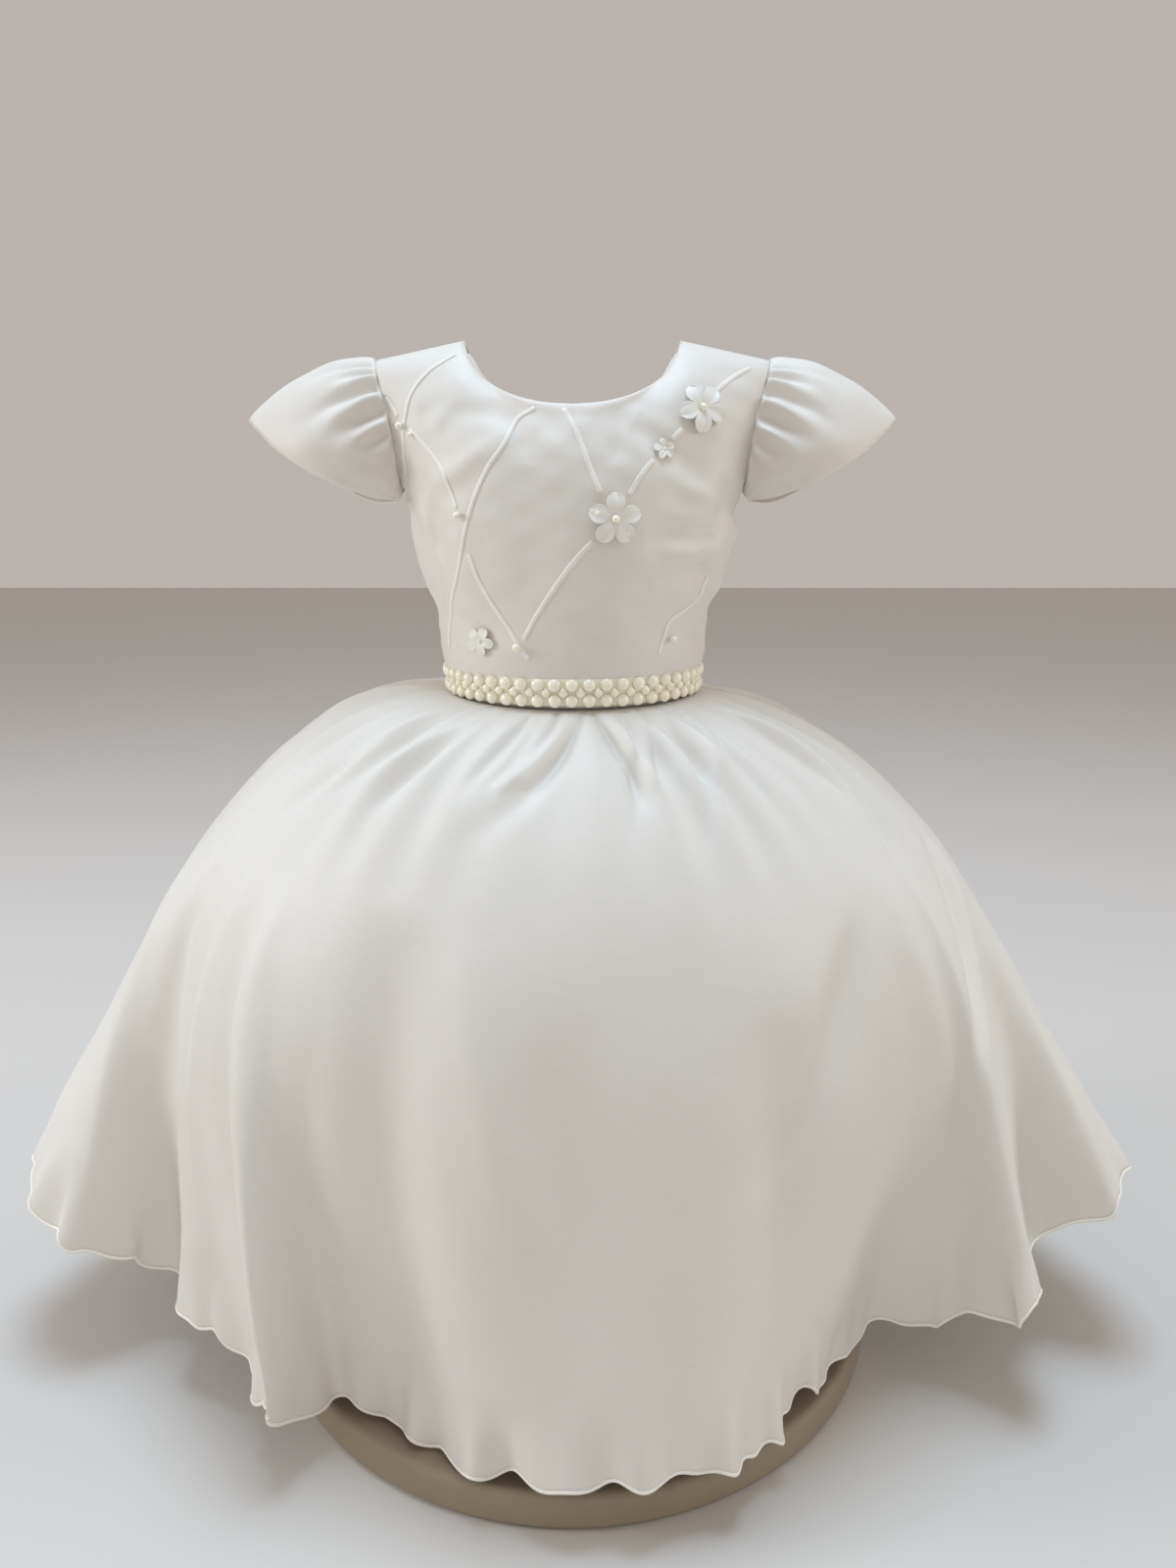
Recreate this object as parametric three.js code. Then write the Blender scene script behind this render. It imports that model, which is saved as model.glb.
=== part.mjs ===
// A small child's party dress on a limbless dress form, in millimetres, +Z up.
// The front faces -Y, and the origin is at the middle of the base's underside.
// Turns go round the dress from the centre back by the -X side and the front.

import * as THREE from "three";

// Driving sizes
const BASE_RADIUS = 200;
const BASE_THICKNESS = 24;
const BASE_EDGE = 5;
const POLE_RADIUS = 14;
const SEAM_GAP = 0.3;
const CLOTH = 1.6;

const WAIST_HEIGHT = 434;
const SKIRT_CHORD = 424;
const SKIRT_BILLOW = 62;
const BILLOW_POWER = 0.74;
const LEFT_BILLOW = 0.08;
const LEFT_PUFF = 10;
const PUFF_FALL = 0.09;
const SIDE_TILT = 2;
const SIDE_REACH = 343;
const FRONT_REACH = 205;
const BACK_REACH = 216;
const WAIST_HALF_WIDTH = 71.5;
const WAIST_FRONT = 73;
const WAIST_BACK = 61;

const SKIRT_COLUMNS = 180;
const GATHERS = 36;
const GATHER_DEPTH = 2.4;
const RUFFLES = 45;
const RUFFLE_DEPTH = 3.6;
const RUFFLE_LIFT = 3;
const RUFFLE_START = 0.88;

// Where the waist gathers are full, start to fade, and how long they take to fade
const GATHER_FULL = 0.05;
const GATHER_FADE = 0.08;
const GATHER_FADE_LENGTH = 0.4;

const CHEST_HEIGHT = 535;
const BACK_NECK_DEPTH_SHARE = 0.9;

// Steps of a quarter of the bodice, from the side seam to the centre line
const ARMHOLE_STEPS = 6;
const SHOULDER_STEPS = 3;
const NECK_STEPS = 6;
const QUARTER = ARMHOLE_STEPS + SHOULDER_STEPS + NECK_STEPS;

// Places along the skirt's length, from the waist to the hem
const SKIRT_FALLS = [0, 0.035, 0.1, 0.2, 0.36, 0.54, 0.72, 0.89, 1];

// The hem's plan: a row for each fold, and the share of the length where it starts
const HEM_FOLDS = [
  { name: "back centre", x: 0, y: 208, start: 0.5 },
  { name: "back left ridge", x: -70, y: 222, start: 0.35 },
  { name: "back left hollow", x: -126, y: 176, start: 0.3 },
  { name: "back left lobe", x: -176, y: 200, start: 0.3 },
  { name: "back left dip", x: -212, y: 142, start: 0.4 },
  { name: "left rear fold", x: -262, y: 140, start: 0.25 },
  { name: "left rear valley", x: -286, y: 76, start: 0.4 },
  { name: "left rear wing", x: -338, y: 38, start: 0.5 },
  { name: "left wing tip", x: -359, y: -38, start: 0.5 },
  { name: "left wing front", x: -318, y: -84, start: 0.45 },
  { name: "left wing valley", x: -262, y: -58, start: 0.35 },
  { name: "left front fold", x: -240, y: -103, start: 0.2 },
  { name: "left dip", x: -207, y: -114, start: 0.35 },
  { name: "left ridge", x: -164, y: -178, start: 0.35 },
  { name: "left hollow", x: -137, y: -140, start: 0.35 },
  { name: "front left", x: -92, y: -176, start: 0.45 },
  { name: "front centre left", x: -45, y: -196, start: 0.5 },
  { name: "front centre", x: 10, y: -210, start: 0.55 },
  { name: "front centre right", x: 60, y: -208, start: 0.5 },
  { name: "right lobe", x: 114, y: -180, start: 0.45 },
  { name: "right hollow", x: 142, y: -130, start: 0.35 },
  { name: "right dip", x: 190, y: -94, start: 0.35 },
  { name: "right ridge", x: 236, y: -104, start: 0.3 },
  { name: "right front fold", x: 271, y: -133, start: 0.15 },
  { name: "right wing valley", x: 298, y: -62, start: 0.35 },
  { name: "right wing front", x: 341, y: -76, start: 0.45 },
  { name: "right wing tip", x: 359, y: -34, start: 0.5 },
  { name: "right rear wing", x: 336, y: 44, start: 0.5 },
  { name: "right rear valley", x: 282, y: 84, start: 0.4 },
  { name: "right rear fold", x: 258, y: 148, start: 0.25 },
  { name: "back right dip", x: 206, y: 150, start: 0.4 },
  { name: "back right lobe", x: 172, y: 204, start: 0.3 },
  { name: "back right hollow", x: 118, y: 182, start: 0.3 },
  { name: "back right ridge", x: 62, y: 225, start: 0.35 },
];

// The bodice below the chest: a row for each ring of its outer face
const BODICE_RINGS = [
  { height: 434.3, halfWidth: 71.5, front: 73, back: 61 },
  { height: 453.5, halfWidth: 72.5, front: 74, back: 62 },
  { height: 460, halfWidth: 82, front: 79, back: 66.5 },
  { height: 481, halfWidth: 82.5, front: 79.5, back: 67.5 },
  { height: 491, halfWidth: 86, front: 80, back: 68.5 },
  { height: 509, halfWidth: 93.5, front: 80, back: 70 },
  { height: CHEST_HEIGHT, halfWidth: 99, front: 79, back: 71.5 },
];
const UPPER_SHARES = [0.25, 0.5, 0.75, 0.92, 1];

// The edges of the bodice's upper part on one side of its front
const ARMHOLE_EDGE = [
  { x: 103, y: 0, z: 552 },
  { x: 102.5, y: -15, z: 560 },
  { x: 103.5, y: -23, z: 578 },
  { x: 107, y: -22, z: 600 },
  { x: 112.5, y: -13, z: 618 },
  { x: 116, y: 0, z: 628 },
];
const NECK_EDGE = [
  { x: 63, y: 0, z: 639 },
  { x: 58, y: -18, z: 627 },
  { x: 50, y: -34, z: 615.5 },
  { x: 36, y: -50, z: 606 },
  { x: 18, y: -58, z: 600.5 },
  { x: 0, y: -60, z: 599 },
];

// The open lower edge of a sleeve on its front side
const SLEEVE_HEM = [
  { x: 107, y: 0, z: 548 },
  { x: 122, y: -19, z: 551 },
  { x: 148, y: -27, z: 562 },
  { x: 173, y: -17, z: 577 },
  { x: 192, y: 0, z: 594 },
];
const SLEEVE_COLUMNS_PER_STEP = 3;
const SLEEVE_COLUMNS = 2 * ARMHOLE_STEPS * SLEEVE_COLUMNS_PER_STEP;
const SLEEVE_ROOT_GAP = 0.8;
const SLEEVE_GATHERS = 12;
const SLEEVE_GATHER_DEPTH = 2.2;
const SLEEVE_PUFF = 10;
const SLEEVE_BACK_DROP = 4;
const SLEEVE_HEART = { x: 105, y: 0, z: 588 };
const SLEEVE_MOUTH = { x: 150, y: 0, z: 568 };
const SLEEVE_SHARES = [0, 0.12, 0.3, 0.52, 0.77, 1];

// The form's torso up to the chest, smooth and clear of the cloth
const FORM_RINGS = [
  { height: 336, halfWidth: 62, front: 58, back: 56 },
  { height: 346, halfWidth: 74, front: 68, back: 68 },
  { height: 380, halfWidth: 82, front: 76, back: 75 },
  { height: 414, halfWidth: 76, front: 73, back: 66 },
  { height: 434.3, halfWidth: 68.5, front: 70, back: 58 },
  { height: 456, halfWidth: 69.5, front: 71, back: 59 },
  { height: 482, halfWidth: 76, front: 74, back: 63 },
  { height: 509, halfWidth: 89, front: 76.5, back: 67 },
  { height: CHEST_HEIGHT, halfWidth: 96, front: 75.5, back: 68.5 },
];
const FORM_GAP = 1.2;
const FORM_SEAT = 0.45;
const FORM_NECK_DROP = 0.5;
const ARM_DOME = 5;
const NECK_DISH_HEIGHT = 588;
const NECK_POINT_SHIFT = 2;
const CAP_RINGS = [0.82, 0.5];
const BASE_SIDES = 60;

// The pole's flanges: the foot on the base, and the head under the torso
const FLANGE_RADIUS = 42;
const HEAD_RADIUS = 29.4;
const FLANGE_THICKNESS = 5;
const POLE_COLLAR = 6;
const COLLAR_HEIGHT = 9;
const FOOT_HEIGHT = 16;
const HEAD_HEIGHT = 12;
const POLE_SIDES = 16;

const BELT_COLUMNS = 100;
const BELT_BAND = 2.2;
const BELT_PEARL_RISE = 2.8;
const BELT_LEVELS = [
  { height: 435, even: 0, odd: 0 },
  { height: 439.3, even: 1, odd: 0.1 },
  { height: 443.8, even: 0.2, odd: 0.8 },
  { height: 448.3, even: 1, odd: 0.1 },
  { height: 452.7, even: 0, odd: 0 },
];

// Applied cords of the bodice's loose lattice, as [across, height] on the front
const CORD_WIDTH = 2.6;
const CORD_HEIGHT = 1.5;
const CORD_STEP = 5;
const APPLIED_GAP = 0.7;
const CORD_ROUTES = [
  [[-66, 628], [-81, 618], [-90, 607], [-94, 594], [-96.5, 580], [-97.5, 563]],
  [[-106, 605], [-99, 594.5]],
  [[-91.5, 586.5], [-84, 580], [-73, 567], [-68, 556], [-63.5, 544]],
  [[-20, 596.5], [-29, 591], [-36, 578], [-46, 564], [-54, 547], [-59, 531],
    [-64, 509], [-69, 493], [-72, 477], [-73, 464]],
  [[-57, 519], [-52, 506], [-44, 492], [-35, 479], [-29, 469], [-24, 463]],
  [[-26.5, 473.5], [-19, 487], [-4, 509], [5, 520], [11.5, 526.5]],
  [[-4, 596], [3, 583], [10, 565], [15.5, 552.5]],
  [[31, 551], [38, 562], [44, 569]],
  [[55, 580.5], [60.5, 586]],
  [[80, 607], [90, 615], [101, 621.5]],
  [[78, 505], [73, 495], [65, 488], [55, 481.5], [52, 473], [49, 464]],
];

// Applied five-petal flowers on the front
const PETAL_SIDES = 20;
const PETAL_RISE = 2.4;
const FLOWERS = [
  { name: "flower_chest", x: 23, z: 538, radius: 14, turn: 0.3 },
  { name: "flower_neck", x: 71, z: 597, radius: 13, turn: 0.9 },
  { name: "flower_small", x: 50, z: 575, radius: 6, turn: 0.5 },
];

// Covered buttons at the centre back
const BUTTON_RADIUS = 5;
const BUTTON_OFFSET = 6.5;
const BUTTON_HEIGHTS = [474, 510, 546, 582];
const BUTTON_GAP = 0.8;
const BUTTON_SIDES = 12;

const FINISH = {
  satin: { color: 0xf1efe8, roughness: 0.48, metalness: 0 },
  pearl: { color: 0xefe9d4, roughness: 0.25, metalness: 0 },
  form: { color: 0xe9e4da, roughness: 0.75, metalness: 0 },
  pole: { color: 0xb8b6b0, roughness: 0.35, metalness: 0.8 },
  base: { color: 0x97876b, roughness: 0.6, metalness: 0 },
};

// Small helpers
const vec = (x, y, z) => new THREE.Vector3(x, y, z);
const toVec = (row) => vec(row.x, row.y, row.z);
const smooth = (value) => {
  const share = Math.min(1, Math.max(0, value));
  return share * share * (3 - 2 * share);
};

function flipped(index) {
  return index.flatMap((_, place) =>
    place % 3 === 0 ? [index[place], index[place + 2], index[place + 1]] : []);
}

function volumeOf(points, index) {
  let sum = 0;
  for (let place = 0; place < index.length; place += 3) {
    const [a, b, c] = [0, 1, 2].map((corner) => points[index[place + corner]]);
    sum += a.dot(b.clone().cross(c));
  }
  return sum / 6;
}

function closedBody(points, index) {
  const faces = volumeOf(points, index) < 0 ? flipped(index) : index;
  const geometry = new THREE.BufferGeometry();
  const flat = points.flatMap((point) => [point.x, point.y, point.z]);
  geometry.setAttribute("position", new THREE.Float32BufferAttribute(flat, 3));
  geometry.setIndex(faces);
  geometry.computeVertexNormals();
  return geometry;
}

// Normals of a grid of points. A closed grid's last column meets its first.
function gridNormals(grid, closed) {
  const rows = grid.length;
  const columns = grid[0].length;
  return grid.map((line, row) => line.map((_, column) => {
    const left = closed ? (column + columns - 1) % columns : Math.max(0, column - 1);
    const right = closed ? (column + 1) % columns : Math.min(columns - 1, column + 1);
    const below = Math.max(0, row - 1);
    const above = Math.min(rows - 1, row + 1);
    const along = line[right].clone().sub(line[left]);
    const up = grid[above][column].clone().sub(grid[below][column]);
    return along.cross(up).normalize();
  }));
}

// A wall from its outer and inner grids, closed at its rims and, if open, its two sides
function wallBody(outer, inner, closed) {
  const rows = outer.length;
  const columns = outer[0].length;
  const points = [...outer.flat(), ...inner.flat()];
  const outside = (row, column) => row * columns + (column % columns);
  const inside = (row, column) => rows * columns + outside(row, column);
  const index = [];
  const quad = (a, b, c, d) => index.push(a, b, c, a, c, d);
  const spans = closed ? columns : columns - 1;
  for (let column = 0; column < spans; column += 1) {
    const next = column + 1;
    for (let row = 0; row < rows - 1; row += 1) {
      quad(outside(row, column), outside(row, next),
        outside(row + 1, next), outside(row + 1, column));
      quad(inside(row, column), inside(row + 1, column),
        inside(row + 1, next), inside(row, next));
    }
    quad(inside(0, column), inside(0, next), outside(0, next), outside(0, column));
    quad(outside(rows - 1, column), outside(rows - 1, next),
      inside(rows - 1, next), inside(rows - 1, column));
  }
  if (!closed) {
    const last = columns - 1;
    for (let row = 0; row < rows - 1; row += 1) {
      quad(outside(row, 0), outside(row + 1, 0), inside(row + 1, 0), inside(row, 0));
      quad(inside(row, last), inside(row + 1, last),
        outside(row + 1, last), outside(row, last));
    }
  }
  return closedBody(points, index);
}

function movedIn(grid, normals, depth) {
  return grid.map((line, row) => line.map((point, column) =>
    point.clone().addScaledVector(normals[row][column], -depth)));
}

// Moves a panel's side edges back by half the gap of a seam
function trimmedSides(grid) {
  const last = grid[0].length - 1;
  return grid.map((line) => {
    const copy = line.map((point) => point.clone());
    const back = (edge, neighbour) => {
      const way = line[neighbour].clone().sub(line[edge]).normalize();
      copy[edge].addScaledVector(way, SEAM_GAP / 2);
    };
    back(0, 1);
    back(last, last - 1);
    return copy;
  });
}

// A run of columns out of a closed grid
function columnsOf(grid, first, last) {
  return grid.map((line) => {
    const run = [];
    for (let column = first; column <= last; column += 1) run.push(line[column % line.length]);
    return run;
  });
}

// Skirt
const hemLine = new THREE.CatmullRomCurve3(
  HEM_FOLDS.map((fold) => vec(fold.x, fold.y, fold.start)), true, "centripetal");
hemLine.arcLengthDivisions = 2000;

function ovalPoint(turn, halfWidth, front, back) {
  const angle = 2 * Math.PI * turn;
  const depth = Math.cos(angle) > 0 ? back : front;
  return vec(-Math.sin(angle) * halfWidth, Math.cos(angle) * depth, 0);
}

function gatherWave(turn) {
  const angle = 2 * Math.PI * turn;
  const sway = 0.9 * Math.sin(5 * angle) + 0.6 * Math.sin(3 * angle + 1);
  return Math.sin(GATHERS * angle + sway) * (0.75 + 0.25 * Math.sin(7 * angle + 2));
}

function skirtPoint(turn, fall) {
  const waist = ovalPoint(turn, WAIST_HALF_WIDTH, WAIST_FRONT, WAIST_BACK);
  const bell = ovalPoint(turn, SIDE_REACH, FRONT_REACH, BACK_REACH);
  const fold = hemLine.getPointAt(turn);
  const start = fold.z;
  const weight = smooth((fall - start) / (1 - start));
  const reach = bell.lerp(vec(fold.x, fold.y, 0), weight);
  const spread = reach.clone().sub(waist);
  const width = spread.length();
  const left = Math.sin(2 * Math.PI * turn);
  const chord = SKIRT_CHORD + SIDE_TILT * left;
  const drop = Math.sqrt(chord ** 2 - width ** 2);
  const level = spread.clone().divideScalar(width);
  const outward = level.clone().multiplyScalar(drop / chord);
  outward.z = width / chord;
  const point = waist.clone().addScaledVector(spread, fall);
  point.z = WAIST_HEIGHT - drop * fall;
  const billow = SKIRT_BILLOW * (1 + LEFT_BILLOW * Math.max(0, left));
  point.addScaledVector(outward, billow * Math.sin(Math.PI * fall ** BILLOW_POWER));
  const puff = (fall / PUFF_FALL) * Math.exp(1 - fall / PUFF_FALL);
  point.addScaledVector(outward, LEFT_PUFF * Math.max(0, left) ** 2 * puff);
  const gathered = Math.min(1, 0.2 + fall / GATHER_FULL)
    * (1 - smooth((fall - GATHER_FADE) / GATHER_FADE_LENGTH));
  point.addScaledVector(outward, GATHER_DEPTH * gathered * gatherWave(turn));
  const ruffled = smooth((fall - RUFFLE_START) / (1 - RUFFLE_START));
  const wave = 2 * Math.PI * (RUFFLES * turn + 0.08 * Math.sin(14 * Math.PI * turn));
  point.addScaledVector(level, RUFFLE_DEPTH * ruffled * Math.sin(wave));
  point.z += RUFFLE_LIFT * ruffled * Math.cos(wave * 0.5 + 1);
  return point;
}

function skirtGrid() {
  return SKIRT_FALLS.map((fall) => Array.from({ length: SKIRT_COLUMNS }, (_, column) =>
    skirtPoint(column / SKIRT_COLUMNS, fall)));
}

// Bodice
const armholeLine = new THREE.CatmullRomCurve3(ARMHOLE_EDGE.map(toVec));
const neckLine = new THREE.CatmullRomCurve3(NECK_EDGE.map(toVec));

function topEdge(step, isBack) {
  let point;
  if (step <= ARMHOLE_STEPS) {
    point = armholeLine.getPoint(step / ARMHOLE_STEPS);
  } else if (step <= ARMHOLE_STEPS + SHOULDER_STEPS) {
    const share = (step - ARMHOLE_STEPS) / SHOULDER_STEPS;
    point = armholeLine.getPoint(1).lerp(neckLine.getPoint(0), share);
  } else {
    point = neckLine.getPoint((step - ARMHOLE_STEPS - SHOULDER_STEPS) / NECK_STEPS);
    const top = NECK_EDGE[0].z;
    if (isBack) point.z = top - (top - point.z) * BACK_NECK_DEPTH_SHARE;
  }
  if (isBack) point.y = -point.y;
  return point;
}

// The place of a column: its quarter's side, front or back, and step from the side seam
function quarterOf(column) {
  const quarter = Math.floor(column / QUARTER) % 4;
  const along = column % QUARTER;
  return {
    side: quarter < 2 ? -1 : 1,
    isBack: quarter === 0 || quarter === 3,
    step: quarter === 0 || quarter === 2 ? QUARTER - along : along,
  };
}

function ringPoint(ring, step, isBack) {
  const angle = (Math.PI / 2) * (1 - step / QUARTER);
  const depth = isBack ? ring.back : -ring.front;
  return vec(Math.sin(angle) * ring.halfWidth, Math.cos(angle) * depth, ring.height);
}

// How far the cloth rounds over at its top: fully at the shoulder seam
function roundness(step) {
  const shoulder = ARMHOLE_STEPS + SHOULDER_STEPS;
  if (step < ARMHOLE_STEPS) return smooth((step - 2) / (ARMHOLE_STEPS - 2));
  return 1 - smooth((step - shoulder) / 3);
}

function upperPoint(share, step, isBack) {
  const chest = ringPoint(BODICE_RINGS.at(-1), step, isBack);
  const edge = topEdge(step, isBack);
  const round = 1 - Math.sqrt(1 - share * share);
  const bend = THREE.MathUtils.lerp(share ** 2.2, round, roundness(step));
  return vec(
    THREE.MathUtils.lerp(chest.x, edge.x, share * share),
    THREE.MathUtils.lerp(chest.y, edge.y, bend),
    THREE.MathUtils.lerp(chest.z, edge.z, share));
}

function bodyGrid(rings, shares) {
  const columns = Array.from({ length: 4 * QUARTER }, (_, column) => quarterOf(column));
  const mirrored = (point, side) => vec(side * point.x, point.y, point.z);
  const lower = rings.map((ring) => columns.map(({ side, isBack, step }) =>
    mirrored(ringPoint(ring, step, isBack), side)));
  const upper = shares.map((share) => columns.map(({ side, isBack, step }) =>
    mirrored(upperPoint(share, step, isBack), side)));
  return [...lower, ...upper];
}

const onShoulder = (step) => step >= ARMHOLE_STEPS && step <= ARMHOLE_STEPS + SHOULDER_STEPS;

// The wall of the bodice stands straight on the shoulder seam, so both sides match
function bodiceNormals(grid) {
  const normals = gridNormals(grid, true);
  const top = normals.at(-1);
  const slope = toVec(NECK_EDGE[0]).sub(toVec(ARMHOLE_EDGE.at(-1)));
  top.forEach((_, column) => {
    const { side, step } = quarterOf(column);
    if (onShoulder(step)) top[column] = vec(side * slope.z, 0, -slope.x).normalize();
  });
  return normals;
}

function bodicePanel(grid, normals, first, last) {
  const raise = (lines) => {
    const run = columnsOf(lines, first, last);
    return trimmedSides(run);
  };
  const outer = raise(grid);
  const inner = raise(movedIn(grid, normals, CLOTH));
  for (const lines of [outer, inner]) {
    const top = lines.at(-1);
    top.forEach((point, place) => {
      const { step, isBack } = quarterOf((first + place) % grid[0].length);
      if (onShoulder(step)) point.y += (isBack ? 1 : -1) * (SEAM_GAP / 2);
    });
  }
  return wallBody(outer, inner, false);
}

// Sleeves
function sleeveHemLine() {
  const front = SLEEVE_HEM.map(toVec);
  const rear = SLEEVE_HEM.slice(1, -1).reverse()
    .map((row) => vec(row.x, -row.y, row.z - SLEEVE_BACK_DROP));
  return new THREE.CatmullRomCurve3([...front, ...rear], true, "centripetal");
}

// A point of the armhole, straight between the steps of the bodice's edge
function armholePoint(column) {
  const place = column / SLEEVE_COLUMNS_PER_STEP;
  const corner = (number) => {
    const isBack = number > ARMHOLE_STEPS;
    return topEdge(isBack ? 2 * ARMHOLE_STEPS - number : number, isBack);
  };
  const low = Math.floor(place);
  return corner(low).lerp(corner(low + 1), place - low);
}

function sleeveGrid(side) {
  const hem = sleeveHemLine();
  const longest = ARMHOLE_EDGE.at(-1).x - SLEEVE_HEM.at(-1).x;
  return SLEEVE_SHARES.map((share) => Array.from({ length: SLEEVE_COLUMNS }, (_, column) => {
    const turn = column / SLEEVE_COLUMNS;
    const root = armholePoint(column);
    root.x += SLEEVE_ROOT_GAP;
    const end = hem.getPointAt(turn);
    const reach = root.distanceTo(end) / Math.abs(longest);
    const point = root.clone().lerp(end, share);
    const centre = toVec(SLEEVE_HEART).lerp(toVec(SLEEVE_MOUTH), share);
    const away = point.clone().sub(centre).setX(0).normalize();
    point.addScaledVector(away, SLEEVE_PUFF * reach * Math.sin(Math.PI * share) ** 0.7);
    const fold = Math.cos(2 * Math.PI * SLEEVE_GATHERS * turn + 0.7 * Math.sin(4 * Math.PI * turn));
    const depth = SLEEVE_GATHER_DEPTH * Math.min(1, reach * 1.6);
    const fade = Math.min(1, 0.3 + 4 * share) * (1 - smooth((share - 0.1) / 0.7));
    point.addScaledVector(away, depth * fade * fold);
    return vec(side * point.x, point.y, point.z);
  }));
}

function sleeveBody(side) {
  const grid = sleeveGrid(side);
  const normals = gridNormals(grid, true);
  if (side > 0) normals.flat().forEach((normal) => normal.negate());
  const heart = vec(side * SLEEVE_HEART.x, SLEEVE_HEART.y, SLEEVE_HEART.z);
  normals[0].forEach((normal, column) => {
    normal.copy(grid[0][column]).sub(heart).setX(0).normalize();
  });
  return wallBody(grid, movedIn(grid, normals, CLOTH), true);
}

// Form
function rangeOf(first, last) {
  const way = Math.sign(last - first);
  return Array.from({ length: Math.abs(last - first) + 1 }, (_, place) => first + way * place);
}

// The torso's rings, then the bodice's own upper points moved in, seated at the shoulders.
// Its neck edge lies a little below the neckline, and outside it on the shoulders.
function formGrid() {
  const bodice = bodyGrid(BODICE_RINGS, UPPER_SHARES);
  const normals = bodiceNormals(bodice);
  const upper = movedIn(bodice, normals, CLOTH + FORM_GAP).slice(BODICE_RINGS.length);
  const neckStep = ARMHOLE_STEPS + SHOULDER_STEPS;
  upper.at(-1).forEach((point, column) => {
    const { step, side } = quarterOf(column);
    if (step > neckStep) point.lerp(upper.at(-2)[column], FORM_NECK_DROP);
    if (!onShoulder(step)) return;
    const normal = normals.at(-1)[column];
    point.copy(bodice.at(-1)[column]).addScaledVector(normal, -(CLOTH + FORM_SEAT));
    if (step === neckStep) {
      const outwards = vec(side * normal.z, 0, -side * normal.x);
      point.addScaledVector(outwards, NECK_POINT_SHIFT);
    }
  });
  return [...bodyGrid(FORM_RINGS, []), ...upper];
}

function formTorso() {
  const grid = formGrid();
  const points = grid.flat();
  const columns = grid[0].length;
  const at = (row, column) => row * columns + ((column + columns) % columns);
  const index = [];
  for (let row = 0; row < grid.length - 1; row += 1) {
    for (let column = 0; column < columns; column += 1) {
      const [a, b] = [at(row, column), at(row, column + 1)];
      const [c, d] = [at(row + 1, column + 1), at(row + 1, column)];
      index.push(a, b, c, a, c, d);
    }
  }
  const cap = (loop, shape) => {
    const middle = vec(0, 0, 0);
    loop.forEach((place) => middle.add(points[place]));
    middle.divideScalar(loop.length);
    const inwards = (share) => loop.map((place) =>
      points.push(shape(points[place], middle, share)) - 1);
    const [wide, narrow] = CAP_RINGS.map(inwards);
    const centre = points.push(shape(middle, middle, 0)) - 1;
    loop.forEach((place, corner) => {
      const next = (corner + 1) % loop.length;
      index.push(place, loop[next], wide[next], place, wide[next], wide[corner]);
      index.push(wide[corner], wide[next], narrow[next], wide[corner], narrow[next], narrow[corner]);
      index.push(narrow[corner], narrow[next], centre);
    });
  };
  const flat = (point, middle, share) => middle.clone().lerp(point, share);
  const dome = (side) => (point, middle, share) =>
    flat(point, middle, share).add(vec(side * (1 - share ** 2) * ARM_DOME, 0, 0));
  const dish = (point, middle, share) => {
    const low = flat(point, middle, share);
    low.z = NECK_DISH_HEIGHT + (point.z - NECK_DISH_HEIGHT) * share ** 4;
    return low;
  };
  const topRow = (places) => places.map((column) => at(grid.length - 1, column));
  for (const side of [-1, 1]) {
    const centre = (2 + side) * QUARTER;
    cap(topRow(rangeOf(centre - ARMHOLE_STEPS, centre + ARMHOLE_STEPS - 1)), dome(side));
  }
  const [front, back] = [2 * QUARTER, 4 * QUARTER];
  cap(topRow([
    ...rangeOf(front - NECK_STEPS, front + NECK_STEPS),
    ...rangeOf(back - NECK_STEPS + 1, back + NECK_STEPS - 1),
  ]), dish);
  cap(rangeOf(columns - 1, 0).map((column) => at(0, column)), flat);
  return closedBody(points, index);
}

function turned(profile, sides) {
  const outline = profile.map(([radius, height]) => new THREE.Vector2(radius, height));
  return new THREE.LatheGeometry(outline, sides).rotateX(Math.PI / 2);
}

function baseBody() {
  const [r, t, e] = [BASE_RADIUS, BASE_THICKNESS, BASE_EDGE];
  return turned([
    [0, 0], [r - e, 0], [r, e], [r, t - e], [r - e, t], [0, t],
  ], BASE_SIDES);
}

function poleBody() {
  const foot = BASE_THICKNESS + SEAM_GAP;
  const head = FORM_RINGS[0].height - SEAM_GAP;
  const r = POLE_RADIUS;
  return turned([
    [0, foot], [FLANGE_RADIUS, foot], [FLANGE_RADIUS, foot + FLANGE_THICKNESS],
    [r + POLE_COLLAR, foot + COLLAR_HEIGHT], [r, foot + FOOT_HEIGHT], [r, head - HEAD_HEIGHT],
    [HEAD_RADIUS, head - FLANGE_THICKNESS], [HEAD_RADIUS, head], [0, head],
  ], POLE_SIDES);
}

// A ring of loops that closes on itself both ways
function ringBody(loops) {
  const columns = loops[0].length;
  const index = [];
  loops.forEach((_, row) => {
    const [low, high] = [row * columns, ((row + 1) % loops.length) * columns];
    for (let column = 0; column < columns; column += 1) {
      const next = (column + 1) % columns;
      index.push(low + column, low + next, high + next, low + column, high + next, high + column);
    }
  });
  return closedBody(loops.flat(), index);
}

// Belt: its band follows the bodice. Two rows of pearls stand out, and smaller ones between them
function beltRing(height) {
  const above = BODICE_RINGS.findIndex((ring) => ring.height > height);
  const [low, high] = [BODICE_RINGS[above - 1], BODICE_RINGS[above]];
  const share = (height - low.height) / (high.height - low.height);
  const mix = (name) => THREE.MathUtils.lerp(low[name], high[name], share);
  return { halfWidth: mix("halfWidth"), front: mix("front"), back: mix("back") };
}

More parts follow.
